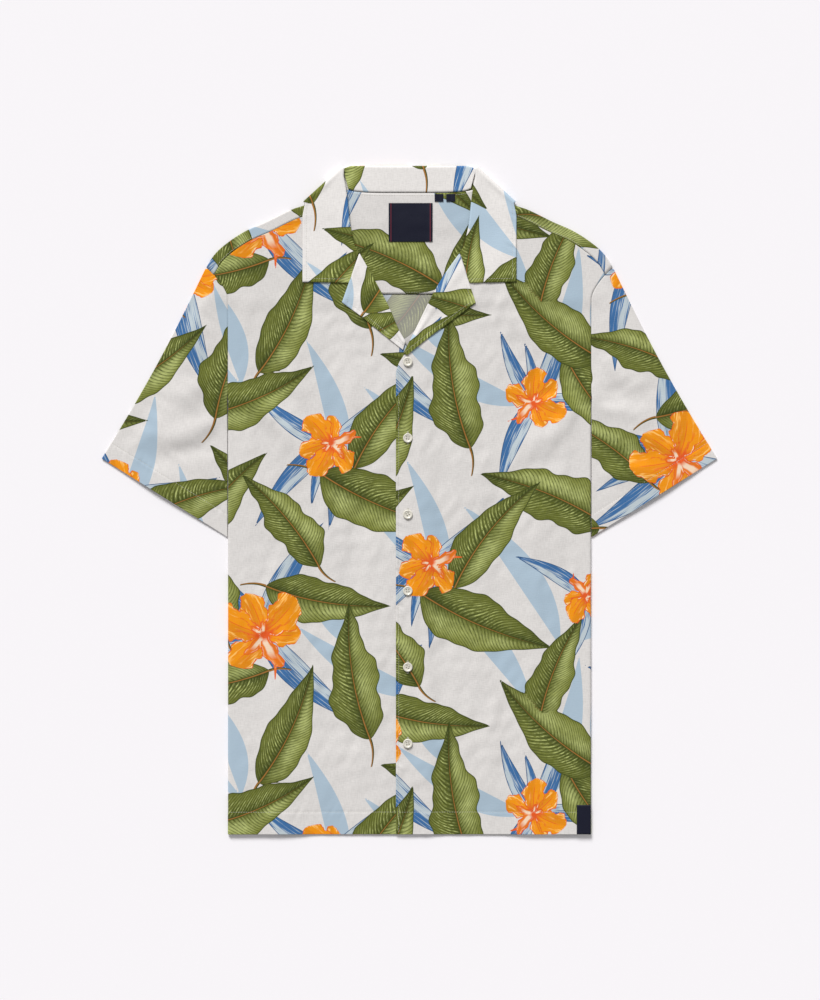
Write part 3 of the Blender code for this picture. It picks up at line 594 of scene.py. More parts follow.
def creases(x, y, table):
    """The rise of the listed soft ridges and troughs, each a little bowed and uneven in width."""
    x, y = np.broadcast_arrays(np.asarray(x, float), np.asarray(y, float))
    total = np.zeros(x.shape)
    for number, (x0, y0, x1, y1, rise, wide) in enumerate(table):
        length = math.hypot(x1 - x0, y1 - y0)
        ux, uy = (x1 - x0) / length, (y1 - y0) / length
        along = ((x - x0) * ux + (y - y0) * uy) / length
        bow = CREASE_BOW * length * (-1) ** number
        aside = (y - y0) * ux - (x - x0) * uy - 4 * bow * along * (1 - along)
        width = wide * (0.75 + 0.5 * np.clip(along, 0, 1))
        dip = np.exp(-(((aside - DIP_AT * width) / (DIP_WIDE * width)) ** 2))
        shape = np.exp(-((aside / width) ** 2)) - DIP_SHARE * dip
        total += rise * shape * smooth(-0.22, 0.22, along) * smooth(1.25, 0.72, along)
    return total


def waves(sizes, seed):
    """Waves of these sizes: for each, the x and y of a random direction, and a random start."""
    dice = np.random.default_rng(seed)
    for size in sizes:
        turn, start = dice.uniform(0, math.pi), dice.uniform(0, FULL_TURN)
        yield size, math.cos(turn), math.sin(turn), start


def sway(x, y, seed):
    """A very slight unevenness of the whole cloth."""
    total = 0.0
    for size, ux, uy, start in waves(SWAY_SIZES, seed):
        total = total + np.sin((x * ux + y * uy) * 2 * math.pi / size + start)
    return total / len(SWAY_SIZES)


def crumple(x, y, seed):
    """Small soft wrinkles in every direction, about 1 high, stronger in some places than in others."""
    total = np.zeros(np.broadcast(x, y).shape)
    for size, ux, uy, start in waves(CRUMPLE_SIZES, seed):
        bow = CRUMPLE_BOW * np.sin((x * uy - y * ux) * 2 * math.pi / (4.1 * size))
        total += np.sin((x * ux + y * uy + bow) * 2 * math.pi / size + start)
    patches = 0.5 + 0.5 * np.sin(x / 31 + seed) * np.sin(y / 37 + 2 * seed)
    return total / 2.6 * (0.35 + 0.9 * patches)


def uneven(x, y, table, sway_rise, crumple_rise, seeds):
    """The creases of a table, with a piece's part of the sway and of the small wrinkles."""
    return creases(x, y, table) + sway_rise * sway(x, y, seeds[0]) + crumple_rise * crumple(x, y, seeds[1])


def hem_relief(from_stitching, along, seed):
    """The groove of a row of stitches, and the slight puckers on both sides of it."""
    groove = -GROOVE_DEPTH * np.exp(-((from_stitching / GROOVE_HALF) ** 2))
    slant = 2 * math.pi * (along + 0.5 * from_stitching)
    puckers = np.sin(slant / 7.7 + seed) + 0.8 * np.sin(slant / 12.9 + 2.1 * seed)
    puckers = puckers * (0.55 + 0.45 * np.sin(along * 2 * math.pi / 47 + 3 * seed))
    return groove + PUCKER_RISE * puckers * np.exp(-((from_stitching / PUCKER_REACH) ** 2))


# Between which places the air under the fronts comes and goes: outwards, from the hem, and from the top
AIR_X = (175, 70)
AIR_LOW_Y = (HEM_Y - 30, HEM_Y + 110)
AIR_TOP_Y = (250, 110)


class Cloth:
    """How the cloth lies: the heights of the body's layers, with air and creases."""

    def __init__(self, sizes):
        self.thin = sizes.cloth_thick / MM
        self.sewn = sizes.sewn_thick / MM
        self.crown = sizes.crown / MM
        self.depth = sizes.crease_depth
        self.hem = sizes.hem / MM
        self.cuff = sizes.cuff / MM
        self.stitch = sizes.stitch / MM
        self.thread = sizes.thread / MM

    def back(self, x, y):
        """The middle of the back panel and of the yoke's back."""
        inner = smooth(FOLD_X - 70, FOLD_X - 130, np.abs(x)) * smooth(YOKE_SEAM_Y, YOKE_SEAM_Y - 14, y)
        inner = inner * smooth(HEM_Y + 20, HEM_Y + 60, y)
        lift = 0.25 + uneven(x, y, BACK_CREASES, 0.2, 0.1, (3, 9))
        level = layer(0) + 2 * STEP * over_flap(x, y) + STEP * over_fall(x, y)
        return level + self.depth * np.maximum(lift, 0.0) * inner

    def air(self, x, y):
        """Air under the fronts: none at the sides and shoulders, little at the hem."""
        level = self.crown * smooth(*AIR_X, np.abs(x)) * smooth(*AIR_LOW_Y, y) * smooth(*AIR_TOP_Y, y)
        rise = uneven(x, y, FRONT_CREASES, 0.35, 0.24, (8, 4))
        seam_y = shoulder(np.clip(np.abs(x), NECK_POINT_X, SHOULDER_X))[0] - YOKE_STRIP
        room = smooth(FOLD_X - 1, FOLD_X - 26, np.abs(x)) * smooth(0, 40, seam_y - y)
        room = room * (0.35 + 0.65 * smooth(HEM_Y, HEM_Y + 60, y))
        beside_neck = smooth(288, 262, y + 0.35 * np.abs(x) - 24)
        lowest = -0.35 - level * 0.9
        return level + self.depth * np.maximum(rise, lowest) * room * (0.3 + 0.7 * beside_neck)

    def front(self, x, y):
        """The middle of the viewer's left front."""
        over_lining = smooth(YOKE_SEAM_Y - 24, YOKE_SEAM_Y - 3, y)
        return self.back(x, y) + STEP + STEP * over_lining + self.air(x, y)

    def right(self, x, y):
        """The middle of the viewer's right front, which laps over the other one."""
        return self.front(x, y) + STEP * smooth(UNDERLAP_X + 3 + LAP_EASE, UNDERLAP_X + 3, x)

    def lining(self, x, y):
        """The middle of the inner yoke."""
        rise = uneven(x, y, LINING_CREASES, 0.25, 0.12, (5, 6))
        inner = smooth(95, 60, np.abs(x)) * smooth(NECK_Y, NECK_Y - 16, y)
        relief = 0.6 * hem_relief(y - YOKE_SEAM_Y - LINING_STITCH, x, 1.0)
        return self.back(x, y) + STEP + rise * inner + relief


# The print


def swell(share, powers):
    """A motif's width along its length, 1 where it is widest."""
    root, tip = powers
    share = np.clip(share, 0.0, 1.0)
    peak = root / (root + tip)
    return share**root * (1 - share) ** tip / (peak**root * (1 - peak) ** tip)


def motif_places(points, motifs, powers):
    """For each point, the nearest motif's edge distance, and its share along and distance across it."""
    nearest = np.full(len(points), 1e9)
    places = np.zeros((len(points), 3))
    span = np.array(REPEAT)
    for x, y, heading, length, half, bend, wave in motifs:
        ahead, left = compass(heading)
        offset = points - [x, y]
        offset -= span * np.round(offset / span)
        along = offset @ ahead + length / 2
        share = along / length
        bent = np.clip(share, -0.3, 1.3)
        across = offset @ left - bend * (bent**2 - 0.25)
        turn = 5.2 * math.pi * share + 1.3 * np.sign(across) + x
        ripple = 1 + wave * (np.sin(turn) + 0.35 * np.sin(2.7 * turn + y))
        past = np.maximum(0.0, np.maximum(-along, along - length))
        edge = np.abs(across) - half * swell(share, powers) * ripple
        edge = np.where(past > 0, np.hypot(across, past), edge)
        nearer = edge < nearest
        nearest[nearer] = edge[nearer]
        places[nearer] = np.stack([edge, share, across], axis=1)[nearer]
    return places


def stems():
    """The stem at the root of each leaf, as motifs."""
    motifs = []
    for x, y, heading, length, _, bend, _, stem in LEAVES:
        ahead, left = compass(heading)
        curve = math.copysign(0.35 * stem, bend)
        root = np.array([x, y]) - ahead * length / 2 - left * bend / 4
        middle = root - ahead * stem / 2 - left * curve / 4
        motifs.append((*middle, heading + 180, stem, STEM_HALF, curve, 0.0))
    return motifs


def from_root(root, heading, length, half, bend, wave):
    """A motif by the place of its root."""
    ahead, left = compass(heading)
    return (*(np.array(root) + ahead * length / 2 + left * bend / 4), heading, length, half, bend, wave)


def on_flowers(parts):
    """Petals or blades of every flower, as motifs."""
    return [
        from_root((x, y), heading + turn, reach * size, half * size, bend * size, wave)
        for x, y, heading, size in FLOWERS
        for turn, reach, half, bend, wave in parts
    ]


PALE_BLADES = [from_root((x, y), *blade, 0.0) for x, y, tuft in PALE_TUFTS for blade in tuft]
# Each field of the print: its motifs, and how they swell
PRINT_LAYERS = {
    "print_pale": (PALE_BLADES, PALE_SWELL),
    "print_blades": (on_flowers(BLADES), BLADE_SWELL),
    "print_stems": (stems(), STEM_SWELL),
    "print_leaves_back": ([row[:-1] for row in LEAVES[0::2]], LEAF_SWELL),
    "print_leaves_front": ([row[:-1] for row in LEAVES[1::2]], LEAF_SWELL),
    "print_petals_back": (on_flowers(PETALS_BACK), PETAL_SWELL),
    "print_petals_front": (on_flowers(PETALS_FRONT), PETAL_SWELL),
    "print_curls": (on_flowers(CURLS), CURL_SWELL),
}


def on_bolt(cloth, piece):
    """Where a piece's own points were on the printed cloth before it was cut."""
    x, y, turn = CUT_FROM[piece]
    return cloth @ np.array(compass(turn)) + [x, y]


# Meshes


def new_object(name, points, faces, looks):
    """A smooth-shaded object with these materials, its points given in millimetres."""
    mesh = bpy.data.meshes.new(name)
    mesh.from_pydata((np.asarray(points) * MM).tolist(), [], faces)
    mesh.shade_smooth()
    for look in looks:
        mesh.materials.append(look)
    made = bpy.data.objects.new(name, mesh)
    bpy.context.scene.collection.objects.link(made)
    return made


def grid_cells(rows, columns, ring, keep):
    """The quads between a grid's points, without those that keep leaves out."""
    i, j = np.meshgrid(np.arange(rows - 1), np.arange(columns if ring else columns - 1), indexing="ij")
    if keep is not None:
        wanted = keep(i, j)
        i, j = i[wanted], j[wanted]
    i, j = i.ravel(), j.ravel()
    a, b = i * columns + j, i * columns + (j + 1) % columns
    return np.stack([a, b, b + columns, a + columns], axis=1)


EDGE_THIN = 0.45  # a sheet's open edges are pinched to this share of its thickness


def shell(name, middle, thick, cloth, looks, printed=None, ring=False, keep=None):
    """A closed thin shell about a grid of points, with its cloth coordinates and its print's fields.

    looks are the materials of the side that the grid faces and of the other side. Returns the
    object and the flat area of its cloth in square metres.
    """
    rows, columns = middle.shape[:2]
    points = middle.reshape(-1, 3)
    thick = np.broadcast_to(thick, (rows, columns)).reshape(-1).copy()
    cells = grid_cells(rows, columns, ring, keep)
    used = np.unique(cells)
    number = np.full(len(points), -1)
    number[used] = np.arange(len(used))
    cells = number[cells]
    points, thick, cloth = points[used], thick[used], cloth.reshape(-1, 2)[used]
    cross = np.cross(points[cells[:, 2]] - points[cells[:, 0]], points[cells[:, 3]] - points[cells[:, 1]])
    normals = np.zeros_like(points)
    for corner in range(4):
        np.add.at(normals, cells[:, corner], cross)
    starts, ends = cells.ravel(), np.roll(cells, -1, axis=1).ravel()
    count = len(points)
    open_edge = ~np.isin(starts * count + ends, ends * count + starts)
    starts, ends = starts[open_edge], ends[open_edge]
    rim = np.stack([ends, starts, starts + count, ends + count], axis=1)
    thick[np.unique(rim % count)] *= EDGE_THIN
    offset = unit(normals) * thick[:, None] / 2
    both = np.concatenate([points + offset, points - offset])
    faces = np.concatenate([cells, cells[:, ::-1] + count, rim])
    made = new_object(name, both, faces.tolist(), looks)
    side = np.zeros(len(faces), np.int32)
    side[len(cells) : 2 * len(cells)] = 1
    made.data.polygons.foreach_set("material_index", side)
    fields = {"cloth_mm": np.column_stack([cloth, np.zeros(len(cloth))])}
    if printed:
        placed = on_bolt(cloth, printed)
        for field, (motifs, powers) in PRINT_LAYERS.items():
            fields[field] = motif_places(placed, motifs, powers)
    for field, values in fields.items():
        stored = made.data.attributes.new(field, "FLOAT_VECTOR", "POINT")
        stored.data.foreach_set("vector", np.tile(values, (2, 1)).astype(np.float32).ravel())
    return made, float(norm(cross, axis=1).sum() / 2) * MM**2


def settle(piece, node, area=None):
    """Fixes a piece to the frame in place of its CAD node, and hides that node. Its area is not used."""
    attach(piece, "root")
    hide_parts(node)


# Body panels

TURN_STEPS = 8
FOLD_START = FOLD_X - WALL / 2 - (layer(3) - layer(0)) / 2
FOLD_MIDDLE = (layer(3) + layer(0)) / 2
FLAP_STEPS = 26
LEAST_LAST_CELL = 1.0


def panel_grid(ys, inner, outer, top, radius, columns):
    """Rows of a body panel, each from its inner edge out to the side and round behind it."""
    angle = np.append(np.linspace(0, math.pi, TURN_STEPS + 1)[1:], [math.pi] * FLAP_STEPS)
    folded = np.concatenate([np.zeros(TURN_STEPS), np.linspace(0, 1, FLAP_STEPS + 1)[1:]])
    middle, cloth = [], []
    for y, start_x, outer_x in zip(ys, inner, outer):
        beyond = float(flap_width(y)) - (FOLD_X - FOLD_START)
        seam = y > FLAP_TOP_Y
        end = FOLD_START
        if seam:
            end = min(FOLD_START + max(0.0, outer_x - FOLD_X), outer_x - LEAST_LAST_CELL)
        flat = start_x + (end - start_x) * columns
        xs = np.concatenate([flat, FOLD_START + radius * np.sin(angle) - beyond * folded])
        zs = np.concatenate([top(flat, y), FOLD_MIDDLE + radius * np.cos(angle)])
        plan = np.append(flat, FOLD_START + radius * angle + beyond * folded)
        if seam:
            xs[len(flat)] = plan[len(flat)] = outer_x
            zs[len(flat)] = top(outer_x, y)
        middle.append(np.stack([xs, np.full_like(xs, y), zs], axis=1))
        cloth.append(np.stack([plan, np.full_like(xs, y)], axis=1))
    return np.array(middle), np.array(cloth)


def below_armhole(ys, columns, both_sides):
    """A test for a panel's cells: its turn and folded part end below the armhole."""
    top_row = int(np.searchsorted(ys, FLAP_TOP_Y, side="right")) - 1
    folded = TURN_STEPS - 1 + FLAP_STEPS

    def keep(i, j):
        in_turn = (j >= columns - 1 - folded) | (both_sides & (j < folded))
        return (i < top_row) | ~in_turn

    return keep


def make_back(lie, looks):
    """The back panel, hem to yoke seam, with both sides turned under the fronts' sides."""
    stitch_y = HEM_Y + lie.hem
    ys = spaced(HEM_Y, YOKE_SEAM_Y - GAP / 2, BACK_CELL, seams=(stitch_y,), edges=(HEM_Y,))

    def top(x, y):
        return lie.back(x, y) + 0.4 * np.maximum(0, hem_relief(y - stitch_y, x, 2.0))

    radius, columns = (layer(2) - layer(1)) / 2, np.linspace(0, 1, 76)
    half, plan = panel_grid(ys, np.zeros(len(ys)), armhole_x(ys), top, radius, columns)
    middle, plan = mirrored(half, -1, 1, 1), mirrored(plan, -1, 1)
    thick = lie.thin + DOUBLED * smooth(stitch_y + 1, stitch_y - 1, middle[:, :, 1])
    keep = below_armhole(ys, middle.shape[1], True)
    return shell("back_cloth", middle, thick, plan, looks, "back_panel", keep=keep)


def front_inner_x(ys, edge, roll):
    """The front's inner edge: down the buttons, up the lapel's fold, then under the collar."""
    roll, neck = rounded(roll), rounded(FRONT_NECK)[::-1]
    inset = LAPEL_TUCK * smooth(BREAK_Y + 8, BREAK_Y + 20, ys)
    by_roll = np.interp(ys, roll[:, 1], roll[:, 0]) + inset
    by_neck = np.interp(ys, neck[:, 1], neck[:, 0])
    return np.where(ys <= BREAK_Y, edge, np.where(ys < FRONT_NECK[-1][1], by_roll, by_neck))


def make_front(name, side, edge, roll, height, lie, looks):
    """A front, hem to shoulder seam, with its side turned under the back's side."""
    stitch_y = HEM_Y + lie.hem
    ys = spaced(HEM_Y, FRONT_NECK[0][1], CELL, seams=(stitch_y,), edges=(HEM_Y,))
    first = side * edge
    inner = front_inner_x(ys, first, np.array(roll) * [side, 1])
    places = spaced(first, FOLD_START, CELL, seams=(first + EDGE_STITCH,), edges=(first,))
    columns = (places - first) / (FOLD_START - first)

    def top(x, y):
        from_edge = np.abs(x - np.interp(y, ys, inner))
        beside = hem_relief(from_edge - EDGE_STITCH, y, 4.0) * smooth(BREAK_Y + 6, BREAK_Y - 4, y)
        above = hem_relief(y - stitch_y, x, side) * smooth(FOLD_X, FOLD_X - 12, x)
        return height(side * x, y) + above + beside

    middle, plan = panel_grid(ys, inner, front_outer_x(ys), top, (layer(3) - layer(0)) / 2, columns)
    doubled = smooth(stitch_y + 1, stitch_y - 1, middle[:, :, 1])
    facing = smooth(EDGE_STITCH + 1, EDGE_STITCH - 1, np.abs(middle[:, :, 0] - inner[:, None]))
    thick = lie.thin + DOUBLED * np.maximum(doubled, facing)
    middle, plan = middle * [side, 1, 1], plan * [side, 1]
    keep = below_armhole(ys, middle.shape[1], False)
    return shell(name, middle, thick, plan, looks, name.removesuffix("_cloth"), keep=keep)


# Yoke

# Places across the shoulder fold, from behind it to the front
LINING_END = -1.9
YOKE_TURN = (-13.0, -9.0, -6.0, -4.0, -2.6, LINING_END, -STEP, -0.9, -0.5, -0.2, 0.0)
YOKE_TURN += (0.2, 0.5, 0.9, STEP, 2.0, 3.0)


def yoke_rows():
    """Rows of the yoke: shares up the back part, then distances across the shoulder fold."""
    return np.linspace(0, 1, 44)[:-1], np.concatenate([YOKE_TURN, spaced(4.2, YOKE_STRIP, 1.6)])


def yoke_plan(x):
    """The points of one line of the yoke seen from above, and on the flat cloth."""
    shares, turn = yoke_rows()
    y, dx, dy = shoulder(x) if x >= NECK_POINT_X else (neck_y(x) - GAP, 0.0, -1.0)
    foot = np.array([x / SHOULDER_X * float(armhole_x(YOKE_SEAM_Y)), YOKE_SEAM_Y + GAP / 2])
    knee = np.array([x - turn[0] * dx, y - turn[0] * dy])
    flat = foot + (knee - foot) * shares[:, None]
    flat[:, 0] = np.minimum(flat[:, 0], armhole_x(flat[:, 1]) * x / SHOULDER_X)
    over = np.stack([x + np.abs(turn) * dx, y + np.abs(turn) * dy], axis=1)
    unfolded = np.stack([x - turn * dx, y - turn * dy], axis=1)
    return np.concatenate([flat, over]), np.concatenate([flat, unfolded])


def yoke_columns():
    """The x of each line of the yoke, from the middle to the shoulder point."""
    return np.concatenate([np.linspace(0, NECK_POINT_X, 36)[:-1], np.linspace(NECK_POINT_X, SHOULDER_X, 68)])


def make_yoke(lie, looks):
    """The outer yoke: under everything at the back, and folded over the shoulders to the front."""
    columns = yoke_columns()
    shares, turn = yoke_rows()
    half, flat = [], []
    for x in columns:
        plan, unfolded = yoke_plan(x)
        rise = np.zeros(len(plan))
        if x >= NECK_POINT_X:
            short = np.maximum(0.0, STEP - np.abs(turn))
            rise[len(shares) :] = STEP + np.sign(turn) * np.sqrt(STEP**2 - short**2)
        half.append(np.column_stack([plan, lie.back(plan[:, 0], plan[:, 1]) + rise]))
        flat.append(unfolded)
    half, flat = (np.array(a).transpose(1, 0, 2) for a in (half, flat))
    middle, plan = mirrored(half, -1, 1, 1), mirrored(flat, -1, 1)
    centre = len(columns) - 1
    fold_row = len(shares) + list(turn).index(0.0)
    neck_columns = int(np.searchsorted(columns, NECK_POINT_X))

    def keep(i, j):
        nearest = np.minimum(np.abs(j - centre), np.abs(j + 1 - centre))
        return (i < fold_row) | (nearest >= neck_columns)

    return shell("yoke_cloth", middle, lie.thin, plan, looks, "yoke_back", keep=keep)


def make_lining(lie, looks):
    """The inner yoke, which shows inside the neck: the outer one's points, one layer up."""
    shares, turn = yoke_rows()
    last_row, fold_row = (len(shares) + list(turn).index(place) for place in (LINING_END, 0.0))
    half = []
    for x in yoke_columns():
        plan = yoke_plan(x)[0]
        end, before = plan[fold_row], plan[last_row]
        inset = 1.7 if x >= NECK_POINT_X else 0.0
        plan = np.concatenate([plan[: last_row + 1], [end + unit(before - end) * inset]])
        half.append(np.column_stack([plan, np.zeros(len(plan))]))
    middle = mirrored(np.array(half).transpose(1, 0, 2), -1, 1, 1)
    middle[:, :, 2] = lie.lining(middle[:, :, 0], middle[:, :, 1])
    return shell("lining_cloth", middle, lie.thin, middle[:, :, :2], looks, "yoke_lining")


# Sleeves


def sleeve_outer_edge():
    """The fold along the top of the sleeve, from the shoulder point to the cuff's tip."""
    start = np.array([SHOULDER_X + GAP + 0.2, SHOULDER_Y - GAP])
    along = np.array(CUFF_TIP) - [WALL / 2, 0] - start
    shares = np.linspace(0, 1, 60)[:, None]
    return start + shares * along + SLEEVE_HOLLOW * np.sin(math.pi * shares) * to_the_right(unit(along))


def sleeve_ring(y, outer, side, table, lie):
    """One ring of the sleeve: its upper wall out to the fold, and its lower wall back."""
    near_turn = np.radians([0.0, 22.0, 45.0, 67.0, 90.0])
    far_turn = np.radians(np.arange(90, -1, -18))
    closed = y <= FLAP_TOP_Y
    tuck = float(smooth(FLAP_TOP_Y, FLAP_TOP_Y + 12, y))
    near = np.array([float(armhole_x(y)) + GAP * (1 + 0.4 * (y > ARMHOLE_Y)) - ARMHOLE_TUCK * tuck, y])
    far = on_line(outer, [(SHOULDER_Y - y) / (SHOULDER_Y - CUFF_INNER_Y)])[0]
    length = float(norm(far - near))
    down = smooth(FLAP_TOP_Y, FLAP_TOP_Y - 40, y)
    level = max(y, FLAP_TOP_Y)
    near_high = float(lie.front(side * FOLD_X, level))
    near_low = float(lie.back(FOLD_X, level)) - STEP * smooth(FLAP_TOP_Y + RISE_EASE, FLAP_TOP_Y, y)
    near_high += (layer(1) - near_high) * down
    near_low += (layer(0) - near_low) * down
    near_radius, far_radius = (near_high - near_low) / 2, STEP / 2
    begins = WALL / 2 + near_radius * (1 - np.cos(near_turn)) if closed else length * np.linspace(0, 0.03, 5)
    near_rise = np.sin(near_turn) if closed else np.ones(5)
    ends = length - far_radius * (1 - np.cos(far_turn))
    inside = begins[-1] + (ends[0] - begins[-1]) * np.linspace(0, 1, 72)[1:-1]
    at = np.concatenate([begins, inside, ends])
    spots = near + (far - near) * (at / length)[:, None]
    ease = 1 - smooth(0, min(SLEEVE_EASE, 0.9 * length), at)
    rise = np.concatenate([near_rise, np.ones(len(inside)), np.sin(far_turn)])
    crown = SLEEVE_CROWN * np.sin(math.pi * at / length) ** 2 * smooth(0, 60, length)
    x, spot_y = spots.T
    folds = creases(side * x, spot_y, table) + 0.3 * sway(x, spot_y, 11 + side)
    folds = folds + 0.18 * crumple(x, spot_y, 15 + side)
    from_stitch = (y - CUFF_INNER_Y) * CUFF_UPRIGHT - lie.cuff
    folds = folds * smooth(0, 24, at) * smooth(0, 20, length - at)
    folds = folds * (0.3 + 0.7 * smooth(-20, 20, from_stitch))
    high = layer(1) + (near_high - layer(1)) * ease + crown
    high = high + lie.depth * np.maximum(folds, -crown - 0.2)
    relief = hem_relief(from_stitch, at, 3.0 + side) * smooth(0, 6, at) * smooth(0, 6, length - at)
    drop = SEAM_DROP * tuck * smooth(2.4, 0.9, at)
    high = high + relief - drop
    low = layer(0) + (near_low - layer(0)) * ease + drop
    rise = rise * (high - low) / 2
    upper, lower = (np.column_stack([spots, (high + low) / 2 + way * rise]) for way in (1, -1))
    return np.concatenate([upper, lower[-2:0:-1]])


def make_sleeve(name, side, table, lie, looks):
    """A flat tube in rings from the shoulder point to the cuff."""
    outer = sleeve_outer_edge()
    cuff_stitch = CUFF_INNER_Y + lie.cuff / CUFF_UPRIGHT
    ys = spaced(CUFF_INNER_Y, SLEEVE_TOP_Y, SLEEVE_CELL, seams=(cuff_stitch,), edges=(CUFF_INNER_Y,))[::-1]
    rings = np.array([sleeve_ring(y, outer, side, table, lie) for y in ys])
    count = rings.shape[1]
    upper_count = count // 2 + 1
    plan = rings[:, :, :2].copy()
    across = to_the_right(unit(outer[-1] - outer[0]))
    past = (plan[:, upper_count:] - outer[0]) @ across
    plan[:, upper_count:] -= 2 * past[..., None] * across
    stitched = smooth(cuff_stitch + 1.2, cuff_stitch - 1.2, ys)[:, None]
    closed_row = int(np.argmax(ys <= FLAP_TOP_Y))

    def keep(i, j):
        return ((j != 0) & (j != count - 1)) | (i >= closed_row)

    thick = lie.thin + DOUBLED * stitched + np.zeros((1, count))
    rings, plan = rings * [side, 1, 1], plan * [side, 1]
    return shell(name, rings, thick, plan, looks, name.removesuffix("_cloth"), True, keep)


# Collar

COLLAR_BACK = (
    (0.0, 0.0, FALL_EDGE_Y, 4.6),
    (20.0, 20.0, FALL_EDGE_Y, 4.6),
    (40.0, 42.0, 331.2, 4.3),
    (56.0, 64.0, 332.2, 3.8),
    (67.0, 86.0, 336.0, 3.2),
)  # x of the roll, x and y of the edge under the yoke, and the height of the upper leg
COLLAR_ROLL = (
    (78.4, 379.0, 80.6, 366.6),
    (76.4, 368.0, 80.9, 364.0),
    (74.7, 357.0, 82.6, 355.0),
    (73.0, 343.0, 85.0, 343.0),
    (71.4, 326.0, 83.3, 326.0),
    (68.1, 310.0, 77.6, 310.0),
    (65.7, 299.0, 71.4, 299.5),
    (59.3, 288.2, 60.4, 289.6),
)  # x and y of the front's fold, and of the stand's foot beside it
COLLAR_TURNS = (90.0, 50.0, 15.0, -15.0, -50.0, -90.0)
STAND_SHARES = (0.0, 0.5, 1.0)
LEAF_SHARES = (0.0, 0.08, 0.2, 0.407, 0.6, 0.8, 1.0)
ROLL_ARC = (36.0, 72.0, 108.0, 144.0)
COLLAR_CELL = 2.2


def patch(low, high, left, right, downs, acrosses):
    """Points of a four-sided patch between curves low and high, and left and right."""
    u = np.asarray(downs)[:, None, None]
    v = np.asarray(acrosses)[None, :, None]
    first, last = on_line(low, acrosses)[None], on_line(high, acrosses)[None]
    near, far = on_line(left, downs)[:, None], on_line(right, downs)[:, None]
    corners = (1 - u) * ((1 - v) * first[:, :1] + v * first[:, -1:])
    corners = corners + u * ((1 - v) * last[:, :1] + v * last[:, -1:])
    return (1 - u) * first + u * last + (1 - v) * near + v * far - corners


def collar_row(neck, stand_end, leaf, away):
    """A row of the collar: up the stand, round the roll, which bulges away from both, and along the leaf."""
    centre, reach = (stand_end + leaf[0]) / 2, (stand_end - leaf[0]) / 2
    bulge = unit(np.append(away, 0.0)) * norm(reach)
    roll = [centre + reach * math.cos(t) + bulge * math.sin(t) for t in np.radians(ROLL_ARC)]
    return between(neck, stand_end, STAND_SHARES) + roll + leaf


def back_collar_rows():
    """Rows of the collar at the back, where its fall lies under the yoke."""
    rows = []
    for roll_x, edge_x, edge_y, height in COLLAR_BACK:
        y = ROLL_TOP_Y - WALL / 2 - (height - layer(0)) / 2
        neck = np.array([roll_x * 0.97, neck_y(roll_x * 0.97) + 2 * GAP, layer(2)])
        leaf = between(np.array([roll_x, y, layer(0)]), np.array([edge_x, edge_y, layer(0)]), LEAF_SHARES)
        rows.append(collar_row(neck, np.array([roll_x, y, height]), leaf, (0.0, 1.0)))
    return rows


def corner_collar_rows():
    """Rows of the collar where it is folded over the shoulder."""
    fold_start, fold_end = np.array([ROLL_CORNER_X, ROLL_TOP_Y]), np.array(CORNER_FOLD_END)
    along = unit(fold_end - fold_start)
    inward = to_the_right(along)
    corner = fold_start + CORNER_ALONG * along + CORNER_IN * inward
    rows = []
    for turn in COLLAR_TURNS:
        up, out = math.sin(math.radians(turn)), math.cos(math.radians(turn))
        stand_end, leaf_start, edge = (
            np.append(spot + inward * (inset - radius * out), level - radius * up)
            for spot, inset, radius, level in (
                (corner, CORNER_ROLL_RADIUS - 0.1, CORNER_STAND_RADIUS, CORNER_STAND_Z),
                (corner, CORNER_ROLL_RADIUS, CORNER_ROLL_RADIUS, CORNER_ROLL_Z),
                (fold_end, CORNER_EDGE_RADIUS, CORNER_EDGE_RADIUS, CORNER_EDGE_Z),
            )
        )
        share = (90.0 - turn) / 180.0
        neck_x = CORNER_NECK_X[0] + (CORNER_NECK_X[1] - CORNER_NECK_X[0]) * share
        neck = np.array([neck_x, neck_y(neck_x) + CORNER_NECK_IN, layer(2) + STEP * share**2])
        rows.append(collar_row(neck, stand_end, between(leaf_start, edge, LEAF_SHARES), -along))
    return rows


def front_collar_rows(first_leaf, height):
    """Rows of the collar from the shoulder down to the gorge, its leaf lying on the front."""
    roll = np.concatenate([first_leaf[:1], np.array(COLLAR_ROLL)[:, :2]])
    outer = [first_leaf[-1], LEAF_EDGE, COLLAR_POINT]
    lower = [roll[-1], np.array(NOTCH) + [0.4, 0.0], COLLAR_POINT]
    lengths = line_lengths(roll)
    downs = (lengths / lengths[-1])[1:]
    plan = patch(first_leaf, lower, roll, outer, downs, LEAF_SHARES)
    rows = []
    for spots, neck, down in zip(plan, np.array(COLLAR_ROLL)[:, 2:], downs):
        apart = LEG_APART - (LEG_APART - STEP - 0.2) * smooth(0.5, 1.0, down)
        rest = height(spots[:, 0], spots[:, 1]) + STEP + 0.1
        run = norm(spots - spots[0], axis=1)
        base = float(height(*spots[0]) + 0.5 * smooth(357, 379, spots[0][1]))
        heights = rest + (base + apart - rest[0]) * (1 - smooth(0, 26, run))
        foot, stand_end = np.append(neck, height(*neck)), np.append(spots[0], base)
        rows.append(collar_row(foot, stand_end, list(np.column_stack([spots, heights])), (-1.0, 0.0)))
    return rows


def finer(grid, size):
    """A grid made smooth and fine, and for each new row and column the old place it came from."""
    old_places = []
    for _ in ("rows", "columns"):
        steps = norm(np.diff(grid, axis=0), axis=2).max(axis=1)
        counts = np.maximum(1, np.ceil(steps / size)).astype(int)
        places = np.concatenate([k + np.arange(n) / n for k, n in enumerate(counts)] + [[len(counts)]])
        flat = grid.reshape(len(grid), -1)
        grid = eased(places, np.arange(len(flat)), flat).reshape(len(places), -1, 3).transpose(1, 0, 2)
        old_places.append(places)
    return grid, *old_places


